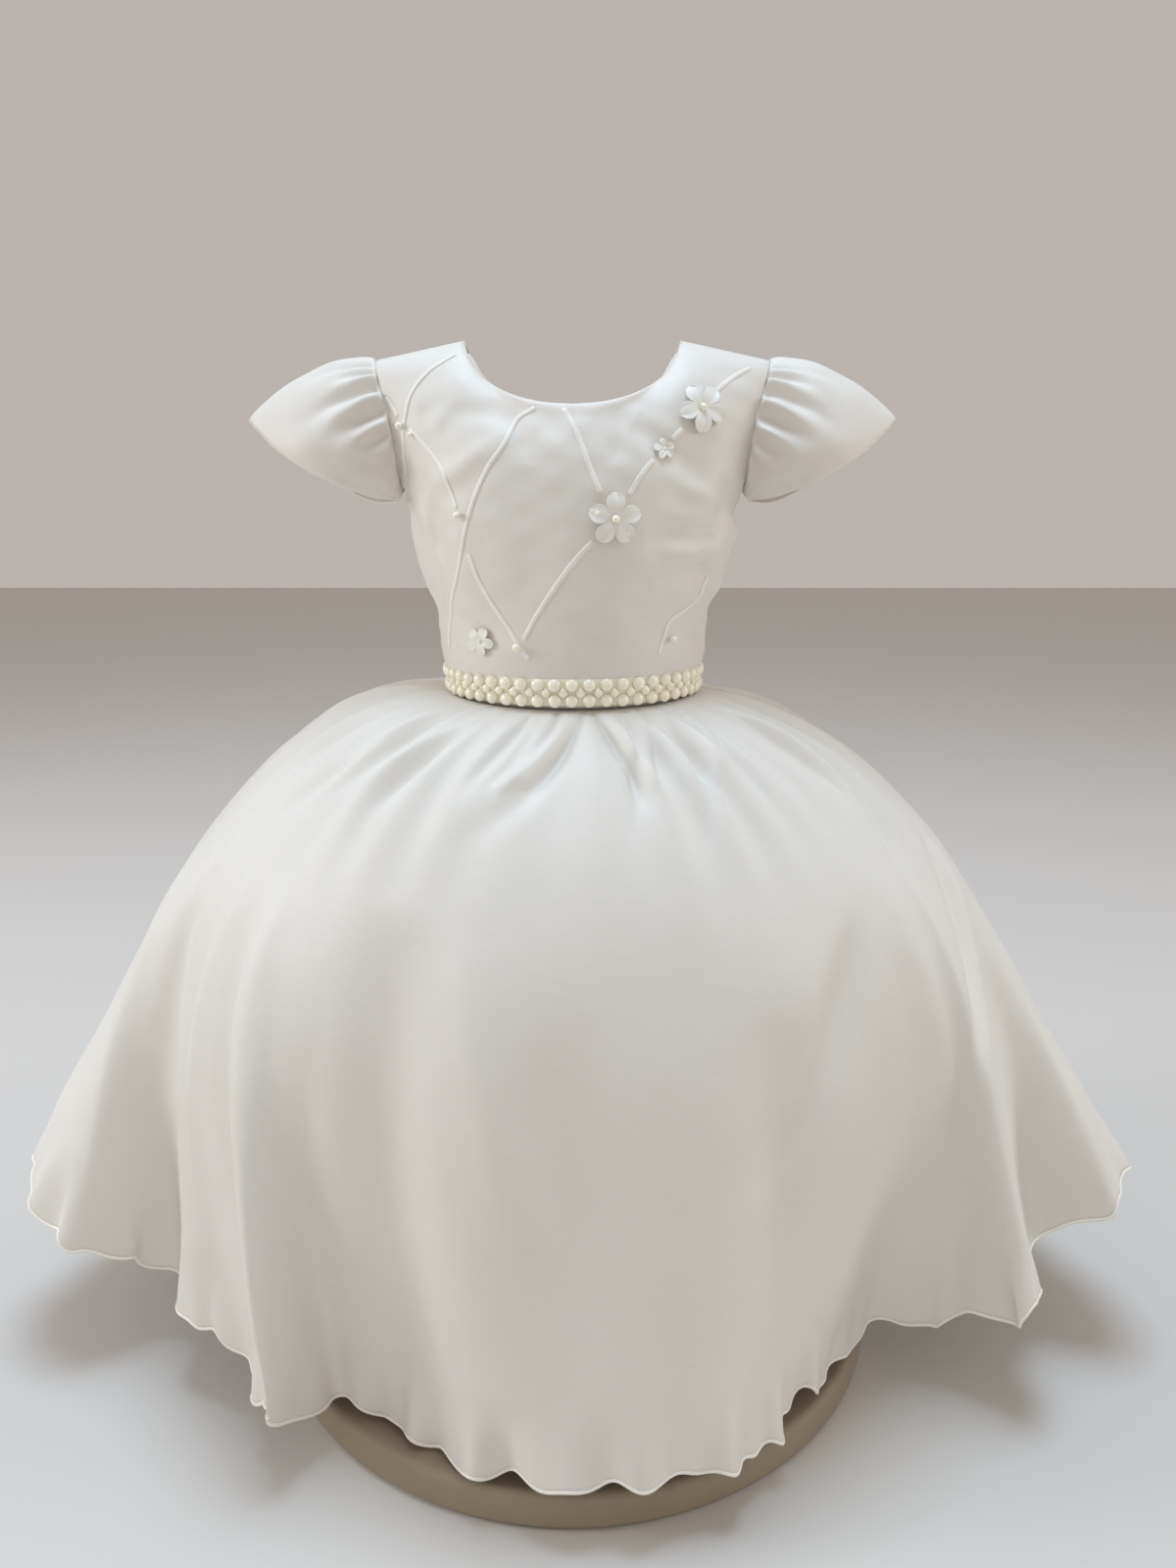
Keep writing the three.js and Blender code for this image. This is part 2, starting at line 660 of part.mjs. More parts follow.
function beltBody() {
  const band = (level, column, extra) => {
    const ring = beltRing(level.height);
    const point = ovalPoint(column / BELT_COLUMNS, ring.halfWidth, ring.front, ring.back);
    const away = point.clone().divide(vec(ring.halfWidth ** 2, ring.front ** 2, 1)).normalize();
    point.z = level.height;
    return point.addScaledVector(away, extra);
  };
  const columns = rangeOf(0, BELT_COLUMNS - 1);
  const outer = BELT_LEVELS.map((level) => columns.map((column) => {
    const rise = column % 2 === 0 ? level.even : level.odd;
    return band(level, column, SEAM_GAP + BELT_BAND + BELT_PEARL_RISE * rise);
  }));
  const rims = [BELT_LEVELS.at(-1), BELT_LEVELS[0]];
  const inner = rims.map((level) => columns.map((column) => band(level, column, SEAM_GAP)));
  return ringBody([...outer, ...inner]);
}

// Applied pieces: they are made from the front panel's own points, moved out
function clothPoint(x, z) {
  const cells = columnsOf(bodice, QUARTER, 3 * QUARTER);
  const normals = columnsOf(bodiceOut, QUARTER, 3 * QUARTER);
  for (let row = 0; row < cells.length - 1; row += 1) {
    for (let column = 0; column < cells[0].length - 1; column += 1) {
      const corners = [[row, column], [row, column + 1], [row + 1, column + 1], [row + 1, column]];
      for (const [second, third] of [[1, 2], [2, 3]]) {
        const places = [corners[0], corners[second], corners[third]];
        const flat = places.map(([r, c]) => vec(cells[r][c].x, 0, cells[r][c].z));
        const share = THREE.Triangle.getBarycoord(vec(x, 0, z), ...flat, vec(0, 0, 0));
        if (!share || Math.min(share.x, share.y, share.z) < -1e-6) continue;
        const blend = (lines) => places.reduce((sum, [r, c], place) =>
          sum.addScaledVector(lines[r][c], share.getComponent(place)), vec(0, 0, 0));
        return { point: blend(cells), normal: blend(normals).normalize() };
      }
    }
  }
  throw new Error(`no cloth at ${x}, ${z}`);
}

function cordBody(route) {
  const line = new THREE.CatmullRomCurve3(route.map(([x, z]) => vec(x, 0, z)));
  const steps = Math.max(2, Math.round(line.getLength() / CORD_STEP));
  const places = line.getSpacedPoints(steps).map(({ x, z }) => clothPoint(x, z));
  const points = places.flatMap(({ point, normal }, step) => {
    const [before, after] = [places[Math.max(0, step - 1)], places[Math.min(steps, step + 1)]];
    const way = after.point.clone().sub(before.point).normalize();
    const across = way.cross(normal).normalize();
    const corner = (side, rise) => {
      const beside = point.clone().addScaledVector(across, side);
      return clothPoint(beside.x, beside.z).point.addScaledVector(normal, rise);
    };
    const [foot, half] = [APPLIED_GAP, CORD_WIDTH / 2];
    const crown = foot + CORD_HEIGHT;
    return [corner(-half, foot), corner(half, foot),
      corner(half * 0.55, crown), corner(-half * 0.55, crown)];
  });
  const index = [0, 2, 1, 0, 3, 2];
  for (let step = 0; step < steps; step += 1) {
    for (let corner = 0; corner < 4; corner += 1) {
      const next = (corner + 1) % 4;
      const [a, b] = [4 * step + corner, 4 * step + next];
      index.push(a, b, b + 4, a, b + 4, a + 4);
    }
  }
  const end = 4 * steps;
  index.push(end, end + 1, end + 2, end, end + 2, end + 3);
  return closedBody(points, index);
}

function flowerBody({ x, z, radius, turn }) {
  const place = (share, angle, rise) => {
    const petal = 0.66 + 0.34 * Math.abs(Math.cos(2.5 * (angle - turn))) ** 0.7;
    const reach = radius * share * petal;
    const { point, normal } = clothPoint(x + reach * Math.cos(angle), z + reach * Math.sin(angle));
    return point.addScaledVector(normal, APPLIED_GAP + rise);
  };
  const angles = rangeOf(0, PETAL_SIDES - 1).map((side) => (2 * Math.PI * side) / PETAL_SIDES);
  const outline = [[0.5, 0], [1, 0], [1, PETAL_RISE * 0.7], [0.55, PETAL_RISE]];
  const rings = outline.map(([share, rise]) => angles.map((angle) => place(share, angle, rise)));
  const points = [...rings.flat(), place(0, 0, 0), place(0, 0, PETAL_RISE * 0.6)];
  const [under, over] = [points.length - 2, points.length - 1];
  const index = [];
  angles.forEach((_, side) => {
    const next = (side + 1) % PETAL_SIDES;
    index.push(under, next, side);
    for (let ring = 0; ring < outline.length - 1; ring += 1) {
      const [low, high] = [ring * PETAL_SIDES, (ring + 1) * PETAL_SIDES];
      index.push(low + side, low + next, high + next, low + side, high + next, high + side);
    }
    index.push((outline.length - 1) * PETAL_SIDES + side,
      (outline.length - 1) * PETAL_SIDES + next, over);
  });
  return closedBody(points, index);
}

// A covered button beside the centre back opening, standing on the right panel
function buttonBody(height) {
  const low = bodice.findLastIndex((line) => line[0].z <= height);
  const share = (height - bodice[low][0].z) / (bodice[low + 1][0].z - bodice[low][0].z);
  const last = bodice[0].length - 1;
  const at = (lines, column) => lines[low][column].clone().lerp(lines[low + 1][column], share);
  const along = BUTTON_OFFSET / at(bodice, last).distanceTo(at(bodice, 0));
  const foot = at(bodice, 0).lerp(at(bodice, last), along);
  const normal = at(bodiceOut, 0).lerp(at(bodiceOut, last), along).normalize();
  const r = BUTTON_RADIUS;
  const dome = new THREE.LatheGeometry([[0, 0], [r * 0.8, 0], [r, r * 0.3], [r * 0.7, r * 0.7],
    [0, r * 0.85]].map(([radius, rise]) => new THREE.Vector2(radius, rise)), BUTTON_SIDES);
  dome.applyQuaternion(new THREE.Quaternion().setFromUnitVectors(vec(0, 1, 0), normal));
  foot.addScaledVector(normal, BUTTON_GAP);
  return dome.translate(foot.x, foot.y, foot.z);
}

// Group
const dress = new THREE.Group();

function add(name, geometry, finish) {
  const mesh = new THREE.Mesh(geometry, new THREE.MeshStandardMaterial(finish));
  mesh.name = name;
  dress.add(mesh);
  return mesh;
}

const bodice = bodyGrid(BODICE_RINGS, UPPER_SHARES);
const bodiceOut = bodiceNormals(bodice);
add("bodice_front", bodicePanel(bodice, bodiceOut, QUARTER, 3 * QUARTER), FINISH.satin);
add("bodice_back_left", bodicePanel(bodice, bodiceOut, 0, QUARTER), FINISH.satin);
add("bodice_back_right", bodicePanel(bodice, bodiceOut, 3 * QUARTER, 4 * QUARTER), FINISH.satin);
add("sleeve_left", sleeveBody(-1), FINISH.satin);
add("sleeve_right", sleeveBody(1), FINISH.satin);

const skirt = skirtGrid();
const skirtOut = gridNormals(skirt, true).map((line) => line.map((normal) => normal.negate()));
const skirtPanel = (first, last) => wallBody(
  trimmedSides(columnsOf(skirt, first, last)),
  trimmedSides(columnsOf(movedIn(skirt, skirtOut, CLOTH), first, last)), false);
add("skirt_front", skirtPanel(SKIRT_COLUMNS / 4, SKIRT_COLUMNS * 0.75), FINISH.satin);
add("skirt_back_left", skirtPanel(0, SKIRT_COLUMNS / 4), FINISH.satin);
add("skirt_back_right", skirtPanel(SKIRT_COLUMNS * 0.75, SKIRT_COLUMNS), FINISH.satin);

add("belt", beltBody(), FINISH.pearl);
CORD_ROUTES.forEach((route, place) => add(`cord_${place + 1}`, cordBody(route), FINISH.satin));
FLOWERS.forEach((flower) => add(flower.name, flowerBody(flower), FINISH.satin));
BUTTON_HEIGHTS.forEach((height, place) =>
  add(`button_${place + 1}`, buttonBody(height), FINISH.satin));
add("form_torso", formTorso(), FINISH.form);
add("form_pole", poleBody(), FINISH.pole);
add("form_base", baseBody(), FINISH.base);

export default dress;
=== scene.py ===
"""A small child's satin party dress on a limbless dress form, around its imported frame.

Everything is in metres, +Z up, with the dress's front at -Y. Turns go round the dress from
the centre back by the -X side and the front. Columns of a grid run round a piece, and its
rows run along it.
"""

from __future__ import annotations

import logging
import math
from dataclasses import dataclass
from enum import Enum
from typing import Any, Callable, Sequence

import bpy
import numpy as np
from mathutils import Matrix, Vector


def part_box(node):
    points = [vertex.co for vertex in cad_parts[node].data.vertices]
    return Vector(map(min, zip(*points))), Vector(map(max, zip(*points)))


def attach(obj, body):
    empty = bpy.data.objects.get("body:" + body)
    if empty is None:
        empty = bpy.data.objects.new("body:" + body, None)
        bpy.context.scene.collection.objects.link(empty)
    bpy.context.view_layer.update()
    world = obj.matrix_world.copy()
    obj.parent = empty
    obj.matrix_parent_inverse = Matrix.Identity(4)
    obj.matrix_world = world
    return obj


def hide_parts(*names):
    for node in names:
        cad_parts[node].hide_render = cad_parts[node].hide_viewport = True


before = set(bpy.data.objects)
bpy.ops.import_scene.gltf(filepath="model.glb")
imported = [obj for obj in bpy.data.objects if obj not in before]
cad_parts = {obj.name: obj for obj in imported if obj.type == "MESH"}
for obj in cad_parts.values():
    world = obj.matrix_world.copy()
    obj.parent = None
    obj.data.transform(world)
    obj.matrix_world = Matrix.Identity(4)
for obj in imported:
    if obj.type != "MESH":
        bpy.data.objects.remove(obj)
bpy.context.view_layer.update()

log = logging.getLogger("party_dress")
MM = 0.001
SEAM_GAP = 0.3 * MM
SEAM_GROOVE = 0.02 * MM
SHELL = 0.8 * MM
# A cord's rounded end: its reach over the cord's half height, and the share of the width left there
END_REACH = 0.8
END_WIDTH = 0.35
Array = np.ndarray


# Shader maths

class Shade:
    """A socket of a material, on which arithmetic adds the Math nodes."""

    def __init__(self, tree: "Shader", socket: bpy.types.NodeSocket) -> None:
        """Keeps the material's tree and the socket."""
        self.tree = tree
        self.socket = socket

    def _math(self, operation: str, first: Any, second: Any) -> "Shade":
        """Returns the result of a Math node."""
        return self.tree.node("ShaderNodeMath", {"operation": operation}, {0: first, 1: second})

    def __add__(self, other: Any) -> "Shade":
        """Returns self + other."""
        return self._math("ADD", self, other)

    __radd__ = __add__

    def __sub__(self, other: Any) -> "Shade":
        """Returns self - other."""
        return self._math("SUBTRACT", self, other)

    def __rsub__(self, other: Any) -> "Shade":
        """Returns other - self."""
        return self._math("SUBTRACT", other, self)

    def __mul__(self, other: Any) -> "Shade":
        """Returns self * other."""
        return self._math("MULTIPLY", self, other)

    __rmul__ = __mul__

    def sine(self) -> "Shade":
        """Returns the sine of self."""
        return self._math("SINE", self, 0.0)

    def clipped(self) -> "Shade":
        """Returns self, held between 0 and 1."""
        return self.tree.node("ShaderNodeClamp", {}, {"Value": self})


class Shader:
    """A material's node tree around one Principled shader."""

    def __init__(self, name: str) -> None:
        """Makes an empty material with its shader and output.

        Args:
            name: the material's name.
        """
        self.material = bpy.data.materials.new(name)
        self.material.use_nodes = True
        self.nodes = self.material.node_tree.nodes
        self.links = self.material.node_tree.links
        self.nodes.clear()
        self.shader = self.nodes.new("ShaderNodeBsdfPrincipled")
        output = self.nodes.new("ShaderNodeOutputMaterial")
        self.links.new(self.shader.outputs["BSDF"], output.inputs["Surface"])

    def node(self, kind: str, settings: dict[str, Any], inputs: dict[Any, Any], out: Any = 0) -> Shade:
        """Adds any node.

        Args:
            kind: the node's type.
            settings: its own settings.
            inputs: values or links of its sockets, by name or number.
            out: the output that is returned, by name or number.

        Returns:
            The chosen output.
        """
        node = self.nodes.new(kind)
        for key, value in settings.items():
            setattr(node, key, value)
        for key, value in inputs.items():
            self._feed(node.inputs[key], value)
        return Shade(self, node.outputs[out])

    def _feed(self, socket: bpy.types.NodeSocket, value: Any) -> None:
        """Links or sets one socket.

        Args:
            socket: the socket.
            value: another node's output, a colour or a number.
        """
        if isinstance(value, Shade):
            self.links.new(value.socket, socket)
        elif isinstance(value, (tuple, list)) and socket.type == "RGBA":
            socket.default_value = (*value[:3], 1.0)
        else:
            socket.default_value = value

    def constants(self, **values: Any) -> None:
        """Sets values on the shader's own sockets, an underscore standing for a space."""
        for key, value in values.items():
            self._feed(self.shader.inputs[key.replace("_", " ")], value)

    def place(self) -> Shade:
        """Returns the place in the object, in metres."""
        return self.node("ShaderNodeTexCoord", {}, {}, "Object")

    def cloth_place(self) -> Shade:
        """Returns the place on the flat cloth, in metres across and along."""
        return self.node("ShaderNodeUVMap", {"uv_map": "cloth"}, {})

    def split(self, vector: Shade) -> tuple[Shade, Shade]:
        """Returns a vector's first two parts."""
        across = self.node("ShaderNodeSeparateXYZ", {}, {0: vector}, 0)
        return across, Shade(self, across.socket.node.outputs[1])

    def stretched(self, vector: Shade, scale: tuple[float, float, float]) -> Shade:
        """Returns a vector scaled along its axes."""
        return self.node("ShaderNodeVectorMath", {"operation": "MULTIPLY"}, {0: vector, 1: scale})

    def noise(self, vector: Shade, scale: float, detail: float = 2.0, rough: float = 0.5) -> Shade:
        """Returns a noise of about 0.5 at a scale per metre."""
        inputs = {"Vector": vector, "Scale": scale, "Detail": detail, "Roughness": rough}
        return self.node("ShaderNodeTexNoise", {}, inputs)

    def mix(self, factor: Shade, first: Shade | tuple[float, ...],
            second: Shade | tuple[float, ...]) -> Shade:
        """Returns a blend of two colours."""
        inputs = {0: factor, 6: first, 7: second}
        return self.node("ShaderNodeMix", {"data_type": "RGBA"}, inputs, 2)

    def bump(self, height: Shade, depth: float, strength: float = 1.0) -> None:
        """Feeds a relief of a depth in metres to the shader's normal."""
        inputs = {"Height": height, "Distance": depth, "Strength": strength}
        self.constants(Normal=self.node("ShaderNodeBump", {}, inputs))


# Finishes

@dataclass(frozen=True)
class Satin:
    """Soft ivory satin: a fine weave, slubs across it and a pearly sheen.

    Attributes:
        name: the finish's name.
        light: the lighter tone.
        dark: the darker tone.
        roughness: how matt it is.
        weave: threads in a metre.
        weave_depth: the weave's relief in metres.
        crumple_depth: the soft unevenness of the surface, in metres.
    """

    name: str = "ivory_satin"
    light: tuple[float, float, float] = (0.81, 0.783, 0.735)
    dark: tuple[float, float, float] = (0.735, 0.70, 0.64)
    roughness: float = 0.44
    weave: float = 2400.0
    weave_depth: float = 0.05 * MM
    crumple_depth: float = 1.1 * MM

    def make(self) -> bpy.types.Material:
        """Makes the material.

        Returns:
            The material.
        """
        shader = Shader(self.name)
        place = shader.place()
        cloth = shader.cloth_place()
        across, along = shader.split(cloth)
        patches = shader.noise(place, 9.0, 3.0)
        slubs = shader.noise(shader.stretched(cloth, (60.0, 900.0, 1.0)), 1.0, 2.0)
        tone = (patches * 0.7 + slubs * 0.5 - 0.1).clipped()
        shader.constants(Base_Color=shader.mix(tone, self.dark, self.light))
        shader.constants(Roughness=self.roughness - 0.06 + slubs * 0.12)
        turn = 2.0 * math.pi * self.weave
        threads = (across * turn).sine() * (along * turn).sine()
        crumple = shader.noise(place, 55.0, 2.0, 0.45)
        height = threads * (self.weave_depth / self.crumple_depth) + slubs * 0.06 + crumple
        shader.bump(height, self.crumple_depth, 0.32)
        shader.constants(Specular_IOR_Level=0.45, Sheen_Weight=0.22, Sheen_Roughness=0.35)
        shader.constants(Subsurface_Weight=0.06, Subsurface_Scale=0.004)
        return shader.material


@dataclass(frozen=True)
class Thread:
    """Wound thread: the rolled hem and the cords.

    Attributes:
        name: the finish's name.
        colour: the thread's colour.
        shadow: the colour between the threads.
        turns: turns of thread in a metre.
        roughness: how matt it is.
    """

    name: str
    colour: tuple[float, float, float]
    shadow: tuple[float, float, float]
    turns: float
    roughness: float = 0.5

    def make(self) -> bpy.types.Material:
        """Makes the material.

        Returns:
            The material.
        """
        shader = Shader(self.name)
        across, along = shader.split(shader.cloth_place())
        wound = (along * (2.0 * math.pi * self.turns) + across * (2.0 * math.pi)).sine() * 0.5 + 0.5
        uneven = shader.noise(shader.place(), 120.0, 2.0)
        tone = (wound * 0.6 + uneven * 0.5).clipped()
        shader.constants(Base_Color=shader.mix(tone, self.shadow, self.colour))
        shader.constants(Roughness=self.roughness + uneven * 0.08)
        shader.bump(wound + uneven * 0.3, 0.1 * MM, 0.4)
        shader.constants(Sheen_Weight=0.2, Specular_IOR_Level=0.4)
        return shader.material


@dataclass(frozen=True)
class Pearl:
    """Cream pearls: a glossy coat over a slightly uneven nacre.

    Attributes:
        name: the finish's name.
        light: the lighter nacre.
        dark: the yellower nacre.
    """

    name: str = "cream_pearl"
    light: tuple[float, float, float] = (0.97, 0.95, 0.82)
    dark: tuple[float, float, float] = (0.93, 0.90, 0.70)

    def make(self) -> bpy.types.Material:
        """Makes the material.

        Returns:
            The material.
        """
        shader = Shader(self.name)
        place = shader.place()
        patches = shader.noise(place, 90.0, 1.0)
        clouds = shader.noise(place, 600.0, 2.0)
        tone = (patches * 1.6 - 0.4 + clouds * 0.2).clipped()
        shader.constants(Base_Color=shader.mix(tone, self.dark, self.light))
        shader.constants(Roughness=0.2 + clouds * 0.12)
        shader.bump(clouds, 0.05 * MM, 0.3)
        shader.constants(Coat_Weight=0.5, Coat_Roughness=0.12, Specular_IOR_Level=0.55)
        shader.constants(Subsurface_Weight=0.1, Subsurface_Scale=0.002)
        return shader.material


@dataclass(frozen=True)
class Jersey:
    """The dress form's knitted cover.

    Attributes:
        name: the finish's name.
        light: the lighter tone.
        dark: the tone between the stitches.
        wales: rows of stitches in a metre.
    """

    name: str = "form_jersey"
    light: tuple[float, float, float] = (0.74, 0.71, 0.65)
    dark: tuple[float, float, float] = (0.62, 0.59, 0.53)
    wales: float = 700.0

    def make(self) -> bpy.types.Material:
        """Makes the material.

        Returns:
            The material.
        """
        shader = Shader(self.name)
        place = shader.place()
        knit = shader.noise(shader.stretched(place, (self.wales, self.wales, self.wales * 0.4)), 1.0, 1.0)
        patches = shader.noise(place, 14.0, 3.0)
        tone = (knit * 0.7 + patches * 0.4 - 0.05).clipped()
        shader.constants(Base_Color=shader.mix(tone, self.dark, self.light))
        shader.constants(Roughness=0.78 + knit * 0.12)
        shader.bump(knit + patches, 0.15 * MM, 0.5)
        shader.constants(Sheen_Weight=0.3, Specular_IOR_Level=0.25)
        return shader.material


@dataclass(frozen=True)
class PaintedBoard:
    """The base's taupe paint: faint brush marks, and paler dust and darker wear in random patches.

    Attributes:
        name: the finish's name.
        paint: the main colour.
        dust: the paler film, in patches.
        worn: the darker colour of rubbed patches.
    """

    name: str = "taupe_board"
    paint: tuple[float, float, float] = (0.265, 0.21, 0.135)
    dust: tuple[float, float, float] = (0.32, 0.26, 0.18)
    worn: tuple[float, float, float] = (0.20, 0.155, 0.10)

    def make(self) -> bpy.types.Material:
        """Makes the material.

        Returns:
            The material.
        """
        shader = Shader(self.name)
        place = shader.place()
        patches = shader.noise(place, 16.0, 4.0)
        marks = shader.noise(shader.stretched(place, (30.0, 500.0, 500.0)), 1.0, 3.0)
        speckle = shader.noise(place, 700.0, 2.0, 0.7)
        tone = (patches * 0.8 + marks * 0.5 - 0.15).clipped()
        painted = shader.mix(tone, self.paint, self.dust)
        rubbed = ((shader.noise(place, 60.0, 3.0) * 3.0 - 1.75).clipped() * 0.5).clipped()
        shader.constants(Base_Color=shader.mix(rubbed, painted, self.worn))
        shader.constants(Roughness=0.5 + patches * 0.15 + speckle * 0.08)
        shader.bump(marks * 0.5 + speckle * 0.5, 0.2 * MM, 0.35)
        shader.constants(Specular_IOR_Level=0.4)
        return shader.material


@dataclass(frozen=True)
class BrushedSteel:
    """The pole's brushed steel.

    Attributes:
        name: the finish's name.
        light: the lighter tone.
        dark: the darker tone.
    """

    name: str = "brushed_pole"
    light: tuple[float, float, float] = (0.62, 0.61, 0.59)
    dark: tuple[float, float, float] = (0.5, 0.49, 0.47)

    def make(self) -> bpy.types.Material:
        """Makes the material.

        Returns:
            The material.
        """
        shader = Shader(self.name)
        place = shader.place()
        rings = shader.noise(shader.stretched(place, (40.0, 40.0, 3000.0)), 1.0, 2.0)
        smudges = shader.noise(place, 30.0, 3.0)
        shader.constants(Base_Color=shader.mix(rings, self.dark, self.light))
        shader.constants(Roughness=0.3 + smudges * 0.15, Metallic=0.85)
        shader.bump(rings, 0.03 * MM, 0.4)
        return shader.material


@dataclass(frozen=True)
class StudioFloor:
    """A plain pale floor.

    Attributes:
        name: the finish's name.
        colour: its colour.
    """

    name: str = "studio_floor"
    colour: tuple[float, float, float] = (0.66, 0.64, 0.61)

    def make(self) -> bpy.types.Material:
        """Makes the material.

        Returns:
            The material.
        """
        shader = Shader(self.name)
        shader.constants(Base_Color=self.colour, Roughness=0.8, Specular_IOR_Level=0.1)
        return shader.material


class Finish(Enum):
    """The finishes, each made once."""

    SATIN = Satin()
    TRIM = Satin("applique_satin", (0.86, 0.845, 0.80), (0.80, 0.785, 0.735), 0.38, 2400.0,
                 0.04 * MM, 0.3 * MM)
    CORD = Thread("satin_cord", (0.88, 0.865, 0.82), (0.81, 0.79, 0.74), 600.0, 0.45)
    HEM = Thread("overlock_thread", (0.93, 0.91, 0.83), (0.80, 0.775, 0.68), 1100.0)
    PEARL = Pearl()
    RIBBON = Satin("belt_ribbon", (0.95, 0.925, 0.76), (0.89, 0.86, 0.69), 0.5, 1800.0,
                   0.08 * MM, 0.3 * MM)
    JERSEY = Jersey()
    BOARD = PaintedBoard()
    STEEL = BrushedSteel()
    FLOOR = StudioFloor()

    def material(self) -> bpy.types.Material:
        """Returns the finish's one material."""
        made = bpy.data.materials.get(self.value.name)
        return made or self.value.make()


# Curves and grids

def smooth(value: Array) -> Array:
    """Returns a soft step from 0 to 1."""
    share = np.clip(value, 0.0, 1.0)
    return share * share * (3.0 - 2.0 * share)


def blend(first: Array, second: Array, share: Array) -> Array:
    """Returns the value a share of the way from first to second."""
    return first + (second - first) * share


def bump_at(turn: Array, middle: Array, half: float) -> Array:
    """Returns a soft bump of height 1 and some half width round a turn."""
    aside = (turn - middle + 0.5) % 1.0 - 0.5
    return np.exp(-(aside / half) ** 2)


def unit(vectors: Array) -> Array:
    """Returns vectors at length 1."""
    return vectors / np.maximum(np.linalg.norm(vectors, axis=-1, keepdims=True), 1e-12)


class Spline:
    """A centripetal Catmull-Rom spline through a table of points."""

    DIVISIONS = 2000
    LAST = 1.0 - 1e-9

    def __init__(self, points: Sequence[Sequence[float]], closed: bool = False) -> None:
        """Keeps the points, and whether the last leads back to the first."""
        self.points = np.asarray(points, float)
        self.closed = closed

    def _corner(self, number: Array) -> Array:
        """Finds points by number, carried on straight past open ends.

        Args:
            number: the points' numbers.

        Returns:
            The points.
        """
        count = len(self.points)
        if self.closed:
            return self.points[number % count]
        inner = self.points[np.clip(number, 0, count - 1)]
        before = 2.0 * self.points[0] - self.points[1]
        after = 2.0 * self.points[-1] - self.points[-2]
        inner = np.where((number < 0)[..., None], before, inner)
        return np.where((number >= count)[..., None], after, inner)

    def at(self, share: Array) -> Array:
        """Finds points at shares of the spline's own steps.

        Args:
            share: shares from 0 to 1.

        Returns:
            The points.
        """
        share = np.asarray(share, float)
        spans = len(self.points) - (0 if self.closed else 1)
        place = (share % 1.0 if self.closed else np.clip(share, 0.0, 1.0)) * spans
        span = np.minimum(np.floor(place).astype(int), spans - 1)
        t = (place - span)[..., None]
        p = [self._corner(span + step) for step in (-1, 0, 1, 2)]
        gap = [np.linalg.norm(b - a, axis=-1, keepdims=True) ** 0.5 for a, b in zip(p, p[1:])]
        start = (p[1] - p[0]) / gap[0] - (p[2] - p[0]) / (gap[0] + gap[1]) + (p[2] - p[1]) / gap[1]
        end = (p[2] - p[1]) / gap[1] - (p[3] - p[1]) / (gap[1] + gap[2]) + (p[3] - p[2]) / gap[2]
        start, end = start * gap[1], end * gap[1]
        square = 3.0 * (p[2] - p[1]) - 2.0 * start - end
        cube = 2.0 * (p[1] - p[2]) + start + end
        return p[1] + start * t + square * t ** 2 + cube * t ** 3

    def even(self, share: Array) -> Array:
        """Finds points at shares of the spline's length.

        Args:
            share: shares from 0 to 1.

        Returns:
            The points.
        """
        steps = np.linspace(0.0, 1.0, self.DIVISIONS + 1)
        line = self.at(np.where(steps == 1.0, self.LAST, steps) if self.closed else steps)
        length = np.concatenate([[0.0], np.cumsum(np.linalg.norm(np.diff(line, axis=0), axis=1))])
        share = np.asarray(share, float)
        return self.at(np.interp((share % 1.0 if self.closed else share) * length[-1], length, steps))

    def length(self) -> float:
        """Returns the spline's length."""
        line = self.at(np.linspace(0.0, self.LAST, self.DIVISIONS + 1))
        return float(np.linalg.norm(np.diff(line, axis=0), axis=1).sum())


def grid_normals(grid: Array, closed: bool) -> Array:
    """Finds unit normals of a grid of rows and columns, the columns' way first.

    Args:
        grid: its points.
        closed: whether its columns close on themselves.

    Returns:
        A normal for each point.
    """
    if closed:
        along = np.roll(grid, -1, axis=1) - np.roll(grid, 1, axis=1)
    else:
        along = np.gradient(grid, axis=1)
    up = np.gradient(grid, axis=0)
    return unit(np.cross(along, up))


@dataclass(frozen=True)
class Crease:
    """One soft trough or ridge, laid on a piece's flat sizes.

    Attributes:
        start: where it starts, across and up, in metres.
        end: where it ends.
        width: its half width.
        depth: its rise, below 0 for a trough.
        bend: how far its middle bows aside.
    """

    start: tuple[float, float]
    end: tuple[float, float]
    width: float
    depth: float
    bend: float = 0.0

    def rise(self, across: Array, up: Array) -> Array:
        """Finds the crease's height at places on the piece.

        Args:
            across: the places across, in metres.
            up: the places up.

        Returns:
            The heights.
        """
        way = np.array(self.end) - np.array(self.start)
        length = math.hypot(*way)
        offset = (across - self.start[0], up - self.start[1])
        along = (offset[0] * way[0] + offset[1] * way[1]) / length ** 2
        window = np.sin(np.pi * np.clip(along, 0.0, 1.0))
        aside = (offset[0] * way[1] - offset[1] * way[0]) / length - self.bend * window
        return self.depth * window ** 0.8 * np.exp(-(aside / self.width) ** 2)


def in_millimetres(rows: Sequence[Sequence[float]]) -> list[Crease]:
    """Returns creases from rows of across, up, across, up, width, depth and bend."""
    return [Crease((r[0] * MM, r[1] * MM), (r[2] * MM, r[3] * MM), r[4] * MM, r[5] * MM, r[6] * MM)
            for r in rows]


